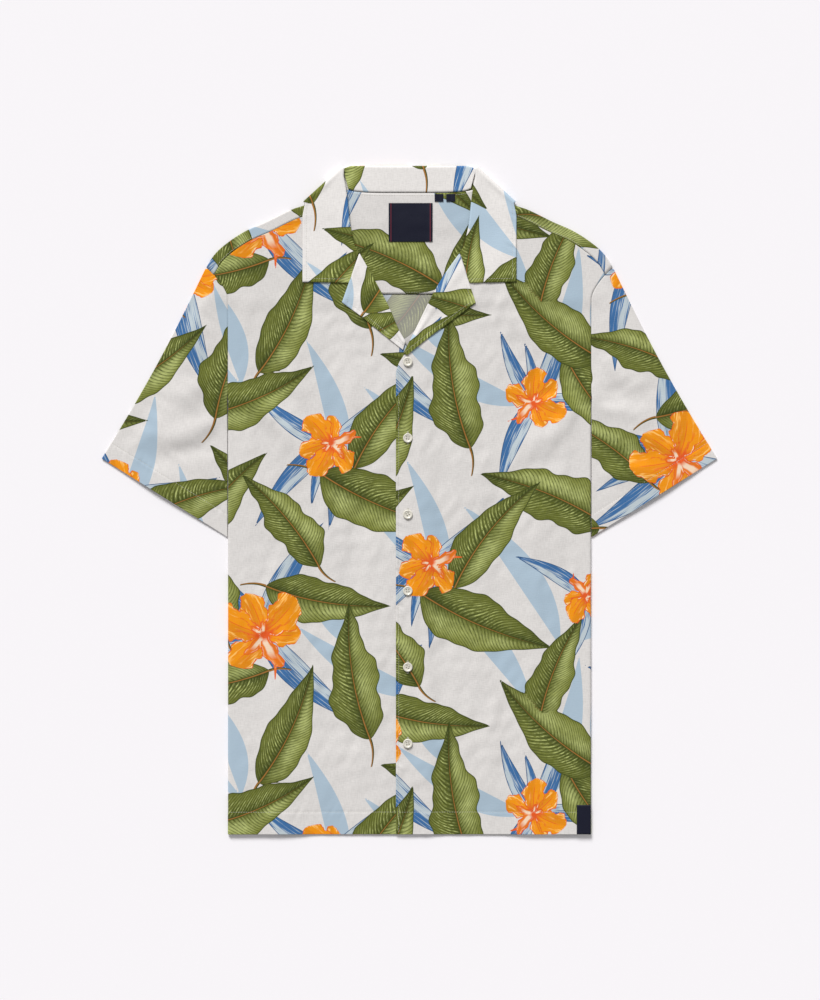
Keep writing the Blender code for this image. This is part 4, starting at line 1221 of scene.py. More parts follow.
def collar_grid(lie):
    """The whole collar as a fine grid, with the old rows and columns of its points."""
    sides = []
    for side in (-1, 1):
        height = lie.right if side > 0 else lie.front
        back, corner = back_collar_rows(), corner_collar_rows()
        first_leaf = np.array(corner[-1][-len(LEAF_SHARES) :])[:, :2]
        front = front_collar_rows(first_leaf, lambda x, y: height(side * x, y))
        sides.append(np.array(back + corner + front) * [side, 1, 1])
    control = np.concatenate([sides[0][:0:-1], sides[1]])
    return finer(control, COLLAR_CELL)


def make_collar(lie, looks):
    """The collar, one folded sheet from gorge to gorge round the back of the neck."""
    middle, rows, columns = collar_grid(lie)
    half_rows = len(COLLAR_BACK) + len(COLLAR_TURNS) + len(COLLAR_ROLL)
    from_centre = np.abs(rows - (half_rows - 1))
    cut_from, cut_to = len(COLLAR_BACK), len(COLLAR_BACK) + len(COLLAR_TURNS) + 1
    leaf_from = len(STAND_SHARES) + len(ROLL_ARC)
    on_leaf = smooth(leaf_from, leaf_from + 1, columns)[None, :]
    inside = norm(middle - middle[:, -1:], axis=2)
    cut = middle[:, :, :2].copy()
    for end_row in (cut[-1:], cut[:1]):
        inside = np.minimum(inside, norm(cut - end_row, axis=2))
    shown = smooth(cut_to - 1, cut_to, from_centre)[:, None] * on_leaf
    x, y = cut[:, :, 0], cut[:, :, 1]
    relief = hem_relief(inside - COLLAR_STITCH, y + x, 5.0)
    soft = creases(x, y, COLLAR_CREASES) + 0.22 * sway(x, y, 21)
    middle[:, :, 2] += shown * (0.7 * relief + np.maximum(soft, -0.3) * smooth(0, 8, inside))
    cut[:, columns >= leaf_from - 2] += COLLAR_FALL_CUT

    def keep(i, j):
        row = np.floor(np.minimum(from_centre[i], from_centre[i + 1]) + 1e-6)
        has_stand = ~((row >= cut_from) & (row < cut_to)) & (row < half_rows - 2)
        return has_stand | (columns[j] >= len(STAND_SHARES) - 1 - 1e-6)

    return shell("collar_cloth", middle, lie.sewn, cut, looks, "collar", keep=keep)


# Lapels


def lapel_grid(side, roll, edge, height):
    """A turned-back lapel, with its inner edge curled round the front's edge."""
    roll, edge = rounded(np.array(roll) * [side, 1]), rounded(np.array(edge) * [side, 1])
    downs = np.linspace(0, 1, 64)
    acrosses = np.concatenate([[0.0], np.linspace(0.05, 0.93, 36), [0.965, 0.985, 1.0]])
    plan = patch([roll[0], edge[0]], [roll[-1], edge[-1]], roll, edge, downs, acrosses)
    normal = unit(to_the_right(np.gradient(plan[:, 0], axis=0)))
    radius = STEP / 2 + 0.05
    rows = []
    for start, outward, across in zip(plan[:, 0], normal, plan[:, 1:]):
        points = []
        for turn in np.radians(np.linspace(-90, 90, 9)):
            spot = start + outward * (WALL / 2 + radius * (1 - math.cos(turn)))
            points.append((*spot, height(side * spot[0], spot[1]) + radius * (1 + math.sin(turn))))
        spots = across + outward * (WALL / 2 + radius) * (1 - acrosses[1:, None])
        heights = height(side * spots[:, 0], spots[:, 1]) + 2 * radius
        rows.append(np.concatenate([points, np.column_stack([spots, heights])]))
    return np.array(rows, float) * [side, 1, 1], plan * [side, 1]


def make_lapel(name, side, roll, edge, height, lie, looks):
    """One lapel, stitched along its lower edge, with a soft roll."""
    middle, plan = lapel_grid(side, roll, edge, height)
    line = plan[:, -1]
    spots = middle[:, :, :2]
    from_edge = np.min(norm(spots[:, :, None] - line[None, None, ::2], axis=3), axis=2)
    share = np.clip(np.linspace(-0.2, 1, middle.shape[1]), 0, 1)[None, :]
    roll_rise = 0.9 * np.sin(math.pi * np.minimum(1, share * 2.2)) ** 2 * smooth(0, 14, from_edge)
    relief = 0.7 * hem_relief(from_edge - COLLAR_STITCH, spots[:, :, 0] - spots[:, :, 1], 7.0)
    middle[:, :, 2] += (roll_rise + relief * smooth(0.02, 0.1, share)) * smooth(-0.02, 0.05, share)
    return shell(name, middle, lie.sewn, spots, looks, name.removesuffix("_cloth"))


# Thread


def stitch_shape():
    """One stitch of length 1 and width 1 along x: a plump thread that dips at both ends."""
    stations, sides = np.array([-0.5, -0.42, -0.2, 0.2, 0.42, 0.5]), 6
    points, faces = [], []
    for x in stations:
        radius = 0.5 * math.sqrt(max(0.05, 1 - (2 * abs(x)) ** 4))
        for k in range(sides):
            turn = 2 * math.pi * k / sides
            points.append((x, radius * math.cos(turn), radius * math.sin(turn) - 1.1 * (2 * x) ** 4))
    for ring in range(len(stations) - 1):
        for k in range(sides):
            low, after = ring * sides, (k + 1) % sides
            faces.append((low + k, low + after, low + sides + after, low + sides + k))
    return np.array(points), np.array(faces)


def stitches(name, spots, ways, normals, length, width, look):
    """Many stitches in one mesh: at these spots, along these ways, on surfaces with these normals."""
    shape, faces = stitch_shape()
    ways = unit(ways - normals * np.sum(ways * normals, axis=1)[:, None])
    across = np.cross(normals, ways)
    points = (
        spots[:, None]
        + shape[None, :, :1] * length * ways[:, None]
        + shape[None, :, 1:2] * width * across[:, None]
        + shape[None, :, 2:] * width * 0.8 * normals[:, None]
    )
    numbers = faces[None] + (np.arange(len(spots)) * len(shape))[:, None, None]
    made = new_object(name, points.reshape(-1, 3), numbers.reshape(-1, 4).tolist(), [look])
    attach(made, "root")
    return made


def along_line(line, pitch):
    """Spots one pitch apart along a line, and the way that the line runs there."""
    line = np.asarray(line, float)
    length = line_lengths(line)[-1]
    count = max(2, int(length / pitch))
    shares = (np.arange(count) + 0.5) / count
    after, before = (on_line(line, np.clip(shares + step / count, 0, 1)) for step in (0.2, -0.2))
    return on_line(line, shares), after - before


def beside(line, inset):
    """A line at this distance to the left of another one, with its corners kept."""
    line = np.asarray(line, float)
    lefts = -to_the_right(unit(np.diff(line, axis=0)))
    first, last = np.concatenate([lefts[:1], lefts]), np.concatenate([lefts, lefts[-1:]])
    mitre = first + last
    return line + 2 * inset * mitre / np.sum(mitre**2, axis=1)[:, None]


def on_surface(piece, plan, below=False):
    """Where plan points meet a piece's upper side, or its lower one, with the normals there."""
    bpy.context.view_layer.update()
    tree = BVHTree.FromObject(piece, bpy.context.evaluated_depsgraph_get())
    way = Vector((0, 0, 1 if below else -1))
    found = []
    for number, (x, y) in enumerate(plan):
        spot, normal, _, _ = tree.ray_cast(Vector((x * MM, y * MM, -way.z * 0.04)), way)
        if spot is not None:
            found.append((number, *(spot / MM), *(normal if normal.z * way.z < 0 else -normal)))
    found = np.array(found)
    return found[:, 0].astype(int), found[:, 1:4], found[:, 4:]


def sew(name, piece, lines, look, pitch, width, below=False, across=0.0):
    """Rows of stitches on a piece along lines in plan, or across them where a length is given."""
    plans, ways = zip(*(along_line(line, pitch) for line in lines))
    plans, ways = np.concatenate(plans), np.concatenate(ways)
    hit, spots, normals = on_surface(piece, plans, below)
    ways = np.column_stack([ways[hit], np.zeros(len(hit))])
    if across:
        ways = ways[:, [1, 0, 2]] * [-1, 1, 1]
    length = across or pitch * 0.8
    return stitches(name, spots + normals * width * 0.25, ways, normals, length, width, look)


# Buttons


def button_y(number):
    """How high up the front the middle of a button is, from 1 at the top."""
    return BUTTON_TOP_Y - (number - 1) * BUTTON_PITCH


def make_button(number, height, look):
    """A round button with a raised rim, a dished middle and four holes. Returns where its thread goes."""
    holes = [(HOLE_APART * a, HOLE_APART * b) for a in (-1, 1) for b in (-1, 1)]
    upper = np.concatenate([(0.0, 0.35, 0.65), np.arange(0.9, 2.8, 0.14), BUTTON_OUTER_RINGS])
    dished = np.interp(upper, *np.transpose(BUTTON_UPPER))
    rims = np.concatenate([np.column_stack([upper, dished]), BUTTON_BACK])
    turns = np.linspace(0, 2 * math.pi, 72, endpoint=False)
    circle = np.stack([np.cos(turns), np.sin(turns)], axis=1)
    ahead, left = compass(BUTTON_TURNS[number - 1])
    centre = np.array([BUTTON_X, button_y(number)])
    base = float(height(*centre)) + BUTTON_LIFT
    points = []
    for place, (radius, level) in enumerate(rims):
        spots = radius * circle
        levels = np.full(len(turns), level)
        if place < len(upper):
            nearest = np.min([norm(spots - hole, axis=1) for hole in holes], axis=0)
            levels = levels - (level - HOLE_FLOOR) * smooth(*HOLE_RADII, nearest)
        points.append(np.column_stack([spots @ [ahead, left] + centre, levels + base]))
    cells = grid_cells(len(rims), len(turns), True, None)
    made = new_object(f"shirt_button_{number}", np.concatenate(points), cells.tolist(), [look])
    settle(made, f"button_{number}")
    thread_at = np.append(centre, base + THREAD_Z)
    shifts = [side * HOLE_APART + shift for side in (-1, 1) for shift in BUTTON_THREADS]
    return thread_at + np.outer(shifts, np.append(ahead, 0.0)), np.tile(np.append(left, 0.0), (4, 1))


def buttonhole_lines(number):
    """The two sides of a buttonhole, and the bars across its ends."""
    y, half = button_y(number), BUTTONHOLE_HALF
    xs = [BUTTON_X + side * BUTTONHOLE_SIDE for side in (-1, 1)]
    ends = [[(BUTTON_X, y + way * (half + past)) for past in BUTTONHOLE_BAR] for way in (-1, 1)]
    return [[(x, y - half), (x, y + half)] for x in xs], ends


# Labels


def make_label(name, node, xs, ys, height, look):
    """A woven label lying on the inner yoke, its ends turned under."""
    x, y = np.meshgrid(*(spaced(*ends, LABEL_CELL, edges=ends) for ends in (xs, ys)))
    folded = smooth(*LABEL_FOLD, np.minimum(x - xs[0], xs[1] - x))
    middle = np.stack([x, y, height(x, y) + LABEL_LIFT + LABEL_FOLD_RISE * folded], axis=2)
    cloth = np.stack([x - sum(xs) / 2, y - sum(ys) / 2], axis=2)
    piece = shell(name, middle, LABEL_THICK + LABEL_FOLD_THICK * folded, cloth, [look, look])[0]
    settle(piece, node)
    return piece


def make_side_tab(height, look):
    """The label over the hem at the viewer's right side, following the side's turn."""
    flat = spaced(FOLD_X - SIDE_TAB_WIDE, FOLD_START, LABEL_CELL)
    turns = np.radians(np.arange(6, 43, 6))
    radius = FOLD_MIDDLE - layer(0) + SIDE_TAB_LIFT
    xs = np.append(flat, FOLD_START + radius * np.sin(turns))
    rows, cloth = [], []
    for y in spaced(HEM_Y + 0.3, HEM_Y + SIDE_TAB_TALL, LABEL_CELL):
        zs = np.append(height(flat, y) + SIDE_TAB_LIFT, FOLD_MIDDLE + radius * np.cos(turns))
        rows.append(np.stack([xs, np.full_like(xs, y), zs], axis=1))
        run = line_lengths(rows[-1][:, ::2])
        cloth.append(np.column_stack([run - run[-1] / 2, run * 0 + y - HEM_Y]))
    piece = shell("side_label", np.array(rows), SIDE_TAB_THICK, np.array(cloth), [look, look])[0]
    settle(piece, "side_tab")


# Materials

# What add_node makes: a node's type, the inputs that values go to in turn, the output, and its settings
IN_TURN = range(5)
TIMES, PLUS, MINUS, OVER, TIMES_PLUS, LARGER, SINE, SIZE = (
    ("ShaderNodeMath", IN_TURN, 0, {"operation": operation})
    for operation in ("MULTIPLY", "ADD", "SUBTRACT", "DIVIDE", "MULTIPLY_ADD", "MAXIMUM", "SINE", "ABSOLUTE")
)
STRETCH = ("ShaderNodeVectorMath", IN_TURN, 0, {"operation": "MULTIPLY"})
RANGE = ("ShaderNodeMapRange", IN_TURN, 0, {})
NOISE = ("ShaderNodeTexNoise", ("Vector", "Scale", "Detail", "Roughness"), 0, {})
SPLIT = ("ShaderNodeSeparateXYZ", IN_TURN, 0, {})
JOIN = ("ShaderNodeCombineXYZ", IN_TURN, 0, {})
PAINT = ("ShaderNodeMix", (0, 6, 7), 2, {"data_type": "RGBA"})  # how much, the colour below, the one above
BUMP = ("ShaderNodeBump", ("Strength", "Distance", "Height"), 0, {})
STORED = ("ShaderNodeAttribute", IN_TURN, "Vector", {})
PLACE = ("ShaderNodeTexCoord", IN_TURN, "Object", {})
GROUP = ("ShaderNodeGroup", IN_TURN, 0, {})


def add_node(tree, kind, *values, **settings):
    """Adds a node of one of the kinds above, with values or sockets for its inputs. Returns its output."""
    name, inputs, out, fixed = kind
    made = tree.nodes.new(name)
    for key, value in {**fixed, **settings}.items():
        setattr(made, key, value)
    for key, value in zip(inputs, values):
        if isinstance(value, bpy.types.NodeSocket):
            tree.links.new(value, made.inputs[key])
        else:
            made.inputs[key].default_value = value
    return made.outputs[out]


def new_look(name, surface):
    """A new material's shader, with these values, and the function that adds nodes to it."""
    look = bpy.data.materials.new(name)
    look.use_nodes = True
    shader = look.node_tree.nodes["Principled BSDF"]
    for socket, value in surface.items():
        shader.inputs[socket].default_value = value
    return shader, partial(add_node, look.node_tree)


def link(node, sockets):
    """Links sockets to a node's inputs, by the inputs' names."""
    for name, socket in sockets.items():
        node.id_data.links.new(socket, node.inputs[name])


def motif_sockets(add, field):
    """How far a motif's edge is, the place along and across it, and how far its rib is, also as a share."""
    edge = add(SPLIT, add(STORED, attribute_name=field))
    along, across = edge.node.outputs[1:]
    aside = add(SIZE, across)
    half = add(LARGER, add(MINUS, aside, edge), 0.01)
    return edge, along, across, aside, add(OVER, aside, half)


def faded(add, value, *limits):
    """A value times what each limit gives: a socket, where it is 0 and where it is 1."""
    for limit in limits:
        value = add(TIMES, value, add(RANGE, *limit))
    return value


def tint(colour, strength=1.0):
    """A colour property as a socket value."""
    return (*(strength * part for part in colour), 1.0)


# Each function of dyes returns a motif's cover, its base colour, and its marks: how much of which colour
SOFT_EDGE = (0.15, -0.15)  # the distances from an edge where a dye begins and is full
CRISP_EDGE = (0.12, -0.12)
VEIN_SPACING = 4.2
VEIN_LEAN = 0.5  # how far a vein leans towards the tip for each mm away from the midrib
VEIN_BOW = 0.55
VEIN_WANDER = 20.0
LEAF_LENGTH = 148.0  # a usual leaf, which the spacing of the veins is measured on


def leaf_dyes(add, field, cloth):
    """A leaf: pale strokes over its belly between dark veins, one half in shade, its ends and edges dark."""
    edge, along, across, aside, share = motif_sockets(add, field)
    wander = add(TIMES, add(NOISE, cloth, 0.021, 0.0), VEIN_WANDER)
    lean = add(TIMES_PLUS, along, LEAF_LENGTH, wander)
    lean = add(TIMES_PLUS, aside, -VEIN_LEAN, lean)
    lean = add(TIMES_PLUS, add(TIMES, aside, share), -VEIN_BOW, lean)
    side = add(RANGE, across, -0.2, 0.2)
    wave = add(SINE, add(TIMES_PLUS, lean, 2 * math.pi / VEIN_SPACING, add(TIMES, side, 2.2)))
    brush_at = add(JOIN, add(TIMES, lean, 0.8), add(TIMES, aside, 0.15), side)
    brush = add(NOISE, brush_at, 1.5, 3.0, 0.55)
    patches = add(RANGE, add(NOISE, cloth, 0.03, 1.0), 0.42, 0.58)
    inside = (share, 0.04, 0.28), (share, 0.96, 0.55), (along, 0.03, 0.2), (along, 0.97, 0.66)
    belly = faded(add, add(RANGE, patches, 0.0, 1.0, 0.45, 1.0), *inside)
    wash = faded(add, belly, (side, 0.0, 1.0, 0.75, 0.12))
    stroke = faded(add, belly, (wave, 0.15, 0.8), (brush, 0.46, 0.58, 0.0, 1.3))
    shade = add(RANGE, share, 0.0, 0.5, 0.5, 0.0)
    for value, start, end, most in ((side, 0.0, 1.0, 0.34), (along, 0.28, 0.0, 0.4), (along, 0.66, 1.0, 0.6)):
        shade = add(PLUS, shade, add(RANGE, value, start, end, 0.0, most))
    vein = faded(add, add(RANGE, brush, 0.60, 0.44, 0.1, 0.9), (wave, -0.45, -0.95))
    off_rib = add(MINUS, aside, add(RANGE, along, 0.0, 1.0, 0.8, 0.05))
    marks = (
        (wash, "leaf_light"),
        (shade, "leaf_dark"),
        (stroke, "leaf_light", 1.15),
        (vein, "leaf_dark"),
        (add(RANGE, edge, -1.5, -0.5, 0.0, 0.95), "leaf_dark"),
        (add(RANGE, off_rib, 1.1, 0.5, 0.0, 0.75), "leaf_dark"),
        (faded(add, add(RANGE, off_rib, *SOFT_EDGE), (along, 0.96, 0.6)), "rib"),
    )
    return add(RANGE, edge, *SOFT_EDGE), "leaf", marks


def stem_dyes(add):
    """A stem, olive with a brown line along it. Its width is drawn from the place across it."""
    edge, along, across, aside, _ = motif_sockets(add, "print_stems")
    half = add(RANGE, along, 0.0, 1.0, STEM_HALF, 0.6 * STEM_HALF)
    cover = add(RANGE, add(MINUS, aside, half), *SOFT_EDGE)
    cover = faded(add, cover, (edge, 4.0, 3.5), (along, -0.02, 0.0), (along, 1.02, 1.0))
    return cover, "leaf_dark", ((add(RANGE, add(PLUS, across, 0.3), 0.75, 0.35), "rib"),)


def blade_dyes(add):
    """A blade: strong blue on one side of its rib and pale on the other, with dry strokes and an outline."""
    edge, along, across, _, _ = motif_sockets(add, "print_blades")
    brush = add(NOISE, add(JOIN, add(TIMES, along, 2.4), add(TIMES, across, 0.5), 0.0), 1.3, 2.0)
    wet = faded(add, add(RANGE, across, 0.2, 1.4, 0.0, 0.9), (brush, 0.38, 0.46))
    pale = faded(add, add(LARGER, wet, add(RANGE, brush, 0.56, 0.66, 0.0, 0.8)), (along, 0.94, 0.75))
    marks = (pale, "cream"), (add(RANGE, edge, -1.1, -0.6), "blue_line")
    return add(RANGE, edge, *CRISP_EDGE), "blue", marks


def petal_dyes(add, field, seed):
    """A petal: flat orange with a shaded half, a fold line, a few fine lines and a red-orange outline."""
    edge, along, across, aside, share = motif_sockets(add, field)
    brush_at = add(JOIN, add(TIMES, along, 1.4), add(TIMES, across, 0.16), seed)
    brush = add(NOISE, brush_at, 2.0, 2.0)
    light = faded(add, add(RANGE, brush, 0.52, 0.62, 0.0, 0.95), (share, 0.2, 0.5), (along, 0.3, 0.6))
    waves = add(TIMES_PLUS, share, 11.0, add(TIMES, brush, 7.0))
    lines = faded(add, add(RANGE, add(SINE, waves), 0.88, 0.98, 0.0, 0.8), (along, 0.85, 0.3))
    fold = faded(add, add(RANGE, aside, 0.6, 0.25, 0.0, 0.85), (along, 0.85, 0.7))
    root = add(RANGE, add(TIMES_PLUS, brush, -0.4, along), 0.12, -0.08)
    rim = faded(add, add(RANGE, edge, -2.4, -2.0), (edge, -1.1, -1.4), (brush, 0.53, 0.6))
    marks = (
        (add(RANGE, across, -0.5, 2.0, 0.0, 0.4), "orange_dark"),
        (light, "glow"),
        (add(LARGER, add(LARGER, lines, fold), root), "red"),
        (rim, "petal_light"),
        (add(RANGE, edge, -1.1, -0.7), "red"),
    )
    return add(RANGE, edge, *CRISP_EDGE), "orange", marks


def curl_dyes(add):
    """The curled middle of a flower: red-orange, with cream cores where the light falls."""
    cover, base, marks = petal_dyes(add, "print_curls", 7.4)
    _, along, _, _, share = motif_sockets(add, "print_curls")
    core = faded(add, add(RANGE, share, 0.5, 0.3, 0.0, 0.9), (along, 0.12, 0.25), (along, 0.75, 0.5))
    return cover, base, (*marks, (0.55, "red"), (core, "petal_light"))


def print_group(colours):
    """The whole print as a node group: flat layers of dye, the ones in front last."""
    tree = bpy.data.node_groups.new("Tropical print", "ShaderNodeTree")
    tree.interface.new_socket("Color", in_out="OUTPUT", socket_type="NodeSocketColor")
    add = partial(add_node, tree)
    cloth = add(STORED, attribute_name="cloth_mm")
    slubs = [add(NOISE, add(STRETCH, cloth, way), 1.0, 2.0) for way in ((0.16, 1.1, 1.0), (1.1, 0.12, 1.0))]
    slub = add(PLUS, *slubs)
    colour = tint(colours.ground, 0.9)
    for cover, base, marks in (
        (add(RANGE, slub, 0.8, 1.15), "ground", ()),
        (add(RANGE, motif_sockets(add, "print_pale")[0], *SOFT_EDGE), "pale", ()),
        blade_dyes(add),
        stem_dyes(add),
        leaf_dyes(add, "print_leaves_back", cloth),
        leaf_dyes(add, "print_leaves_front", cloth),
        petal_dyes(add, "print_petals_back", 0.0),
        petal_dyes(add, "print_petals_front", 3.7),
        curl_dyes(add),
        (add(RANGE, slub, 0.8, 1.3, 0.0, 0.03), "ground", ()),
    ):
        over = tint(getattr(colours, base))
        for share, dye, *strength in marks:
            over = add(PAINT, share, over, tint(getattr(colours, dye), *strength))
        colour = add(PAINT, cover, colour, over)
    link(tree.nodes.new("NodeGroupOutput"), {"Color": colour})
    return tree


def printed_cloth(name, colours, group, fade_and_shade, painted_highlight=1.0):
    """Printed plain-weave viscose and cotton: matt, a little soft sheen, the dye sunk into the threads.

    fade is how much of the ground shows through, as on the side that wasn't printed; that ground is darkened
    to 0.66, partly for the duller unprinted side and partly as painted shade for the neck's well where this
    side shows. bright scales the colour up as a painted highlight, for the raised collar and lapels, which
    catch more light.
    """
    surface = {"IOR": 1.46, "Sheen Weight": 0.04, "Sheen Roughness": 0.5, "Specular IOR Level": 0.15}
    shader, add = new_look(name, surface)
    colour = add(GROUP, node_tree=group)
    if fade_and_shade:
        # The ground mixed in is darkened to 0.66: partly the duller unprinted side, partly painted shade for
        # the well of the neck where this side shows
        colour = add(PAINT, fade_and_shade, colour, tint(colours.ground, 0.66))
    # Painted highlight: the colour scaled up for the raised collar and lapels, which catch more light
    if painted_highlight > 1.0:
        colour = add(STRETCH, colour, (painted_highlight,) * 3)
    cloth = add(STORED, attribute_name="cloth_mm")
    # Threads are 0.3 mm apart, too fine to show, so the slubs are drawn about 1 mm wide and 8 mm long
    slubs = [add(STRETCH, cloth, way) for way in ((0.13, 1.0, 1.0), (1.0, 0.11, 1.0))]
    threads = add(PLUS, *(add(NOISE, slub, 1.0, 3.0, 0.7) for slub in slubs))
    rough = add(RANGE, threads, 0.8, 1.2, 0.76, 0.9)
    link(shader, {"Base Color": colour, "Normal": add(BUMP, 0.6, 0.3 * MM, threads), "Roughness": rough})


def plain_look(name, colour, roughness, grain, depth, least=0.9, coat=0.0):
    """A plain material with a fine grain, so many to the metre and so deep, in its colour and surface."""
    shader, add = new_look(name, {"Roughness": roughness, "Coat Weight": coat, "Coat Roughness": 0.15})
    noise = add(NOISE, add(PLACE), grain, 3.0)
    mottled = add(PAINT, add(RANGE, noise, 0.35, 0.65), tint(colour, least), tint(colour))
    link(shader, {"Base Color": mottled, "Normal": add(BUMP, 0.5, depth * MM, noise)})


TWILL_PITCH = 0.9
LINE_IN = 2.6  # from the label's side to the middle of its woven line


def woven_label_look(colours):
    """Damask-woven polyester label: satin navy with a twill grain, and a woven line near each side."""
    surface = {"Roughness": 0.55, "Specular IOR Level": 0.25, "Sheen Weight": 0.02}
    shader, add = new_look("woven polyester label", surface)
    x = add(SPLIT, add(STORED, attribute_name="cloth_mm"))
    twill = add(SINE, add(TIMES, add(PLUS, x, x.node.outputs[1]), 2 * math.pi / TWILL_PITCH))
    from_side = add(MINUS, (LABEL_X[1] - LABEL_X[0]) / 2, add(SIZE, x))
    line = add(RANGE, add(SIZE, add(MINUS, from_side, LINE_IN)), 0.75, 0.55)
    colour = add(PAINT, add(RANGE, twill, -1.0, 1.0), tint(colours.navy, 0.7), tint(colours.navy, 1.2))
    colour = add(PAINT, line, colour, tint(colours.wine))
    link(shader, {"Base Color": colour, "Normal": add(BUMP, 0.4, 0.1 * MM, twill)})


MATERIALS = {
    "right": "printed cloth, right side",
    "wrong": "printed cloth, wrong side",
    "faced": "printed cloth, faced",
    "thread": "polyester sewing thread",
    "button": "polyester resin button",
    "label": "woven polyester label",
    "paper": "matt photo paper",
}


def materials():
    """Every material, made the first time it is asked for."""
    if MATERIALS["right"] not in bpy.data.materials:
        colours = bpy.context.scene.shirt_colours
        group = print_group(colours)
        printed_cloth(MATERIALS["right"], colours, group, 0.0)
        # The wrong side: the print faded towards a darkened ground, partly painted shade
        printed_cloth(MATERIALS["wrong"], colours, group, 0.52)
        # Collar and lapels: the print made 1.17 times brighter, a painted highlight for their raised parts
        printed_cloth(MATERIALS["faced"], colours, group, 0.0, 1.17)
        # Spun thread is matt, with a fine fuzz
        plain_look(MATERIALS["thread"], colours.thread, 0.6, 2500.0, 0.02)
        # Cast and tumbled resin has a soft gloss over faint clouds
        plain_look(MATERIALS["button"], colours.button, 0.32, 190.0, 0.01, coat=0.4)
        # Photo paper is matt and almost even
        plain_look(MATERIALS["paper"], colours.floor, 0.9, 900.0, 0.01, least=0.99)
        woven_label_look(colours)
    return {key: bpy.data.materials[name] for key, name in MATERIALS.items()}


# Operators


def start_step(context):
    """What each step needs: the materials, how the cloth lies, and sew with the usual thread and stitch."""
    look, lie = materials(), Cloth(context.scene.shirt_sizes)
    return look, lie, partial(sew, look=look["thread"], pitch=lie.stitch, width=lie.thread)


class SHIRT_OT_back(bpy.types.Operator):
    """Lays the back panel, its sides folded under"""

    bl_idname = "shirt.back"
    bl_label = "Back panel"

    def execute(self, context):
        look, lie, sewn = start_step(context)
        piece, area = make_back(lie, [look["wrong"], look["right"]])
        hem = HEM_Y + lie.hem
        thread = sewn("back_hem_stitches", piece, [[(-FOLD_X, hem), (FOLD_X, hem)]], below=True)
        settle(piece, "back_panel", area)
        return {"FINISHED"}


class SHIRT_OT_yoke(bpy.types.Operator):
    """Lays the outer yoke and the inner one that shows in the neck"""

    bl_idname = "shirt.yoke"
    bl_label = "Yoke"

    def execute(self, context):
        look, lie, sewn = start_step(context)
        piece, area = make_yoke(lie, [look["wrong"], look["right"]])
        seam = shoulder_seam() - [0, GAP]
        rows = [beside(seam * [side, 1], SEAM_STITCH * side) for side in (-1, 1)]
        thread = sewn("shoulder_stitches", piece, rows)
        settle(piece, "yoke_back", area)
        piece, area = make_lining(lie, [look["right"], look["wrong"]])
        xs = np.linspace(-NECK_POINT_X, NECK_POINT_X, 90)
        low = YOKE_SEAM_Y + LINING_STITCH
        rows = [[(-LINING_HALF, low), (LINING_HALF, low)], np.column_stack([xs, neck_y(xs) - NECK_STITCH])]
        thread = sewn("inner_yoke_stitches", piece, rows)
        settle(piece, "yoke_lining", area)
        return {"FINISHED"}


class SHIRT_OT_fronts(bpy.types.Operator):
    """Lays both fronts, the viewer's right one over the other"""

    bl_idname = "shirt.fronts"
    bl_label = "Fronts"

    def execute(self, context):
        look, lie, sewn = start_step(context)
        hem = HEM_Y + lie.hem
        looks = [look["wrong"], look["right"]]
        piece, area = make_front("front_left_cloth", -1, UNDERLAP_X, ROLL_LEFT, lie.front, lie, looks)
        thread = sewn("left_hem_stitches", piece, [[(-FOLD_X, hem), (UNDERLAP_X, hem)]])
        settle(piece, "front_left", area)
        looks = [look["right"], look["wrong"]]
        piece, area = make_front("front_right_cloth", 1, LAP_EDGE_X, ROLL_RIGHT, lie.right, lie, looks)
        edge = LAP_EDGE_X + EDGE_STITCH
        rows = [[(edge, hem), (FOLD_X, hem)], [(edge, HEM_Y + 2), (edge, BREAK_Y)]]
        sides, ends = (sum(lines, []) for lines in zip(*map(buttonhole_lines, range(1, BUTTON_COUNT + 1))))
        thread = sewn("right_front_stitches", piece, rows)
        purl = sewn("buttonhole_sides", piece, sides, **SIDE_STITCHES)
        bars = sewn("buttonhole_ends", piece, ends, **BAR_STITCHES)
        settle(piece, "front_right", area)
        return {"FINISHED"}


class SHIRT_OT_sleeves(bpy.types.Operator):
    """Lays both sleeves as flat tubes"""

    bl_idname = "shirt.sleeves"
    bl_label = "Sleeves"

    def execute(self, context):
        look, lie, sewn = start_step(context)
        tip, inner = np.array(CUFF_TIP), np.array([FOLD_X, CUFF_INNER_Y])
        for hand, side, table, sides in (
            ("left", -1, LEFT_SLEEVE_CREASES, ("right", "wrong")),
            ("right", 1, RIGHT_SLEEVE_CREASES, ("wrong", "right")),
        ):
            piece, area = make_sleeve(f"sleeve_{hand}_cloth", side, table, lie, [look[k] for k in sides])
            row = beside([inner * [side, 1], tip * [side, 1]], lie.cuff * side)
            over = sewn(f"{hand}_cuff_stitches", piece, [row])
            threads = [over, sewn(f"{hand}_cuff_underside_stitches", piece, [row], below=True)]
            settle(piece, f"sleeve_{hand}", area)
        return {"FINISHED"}


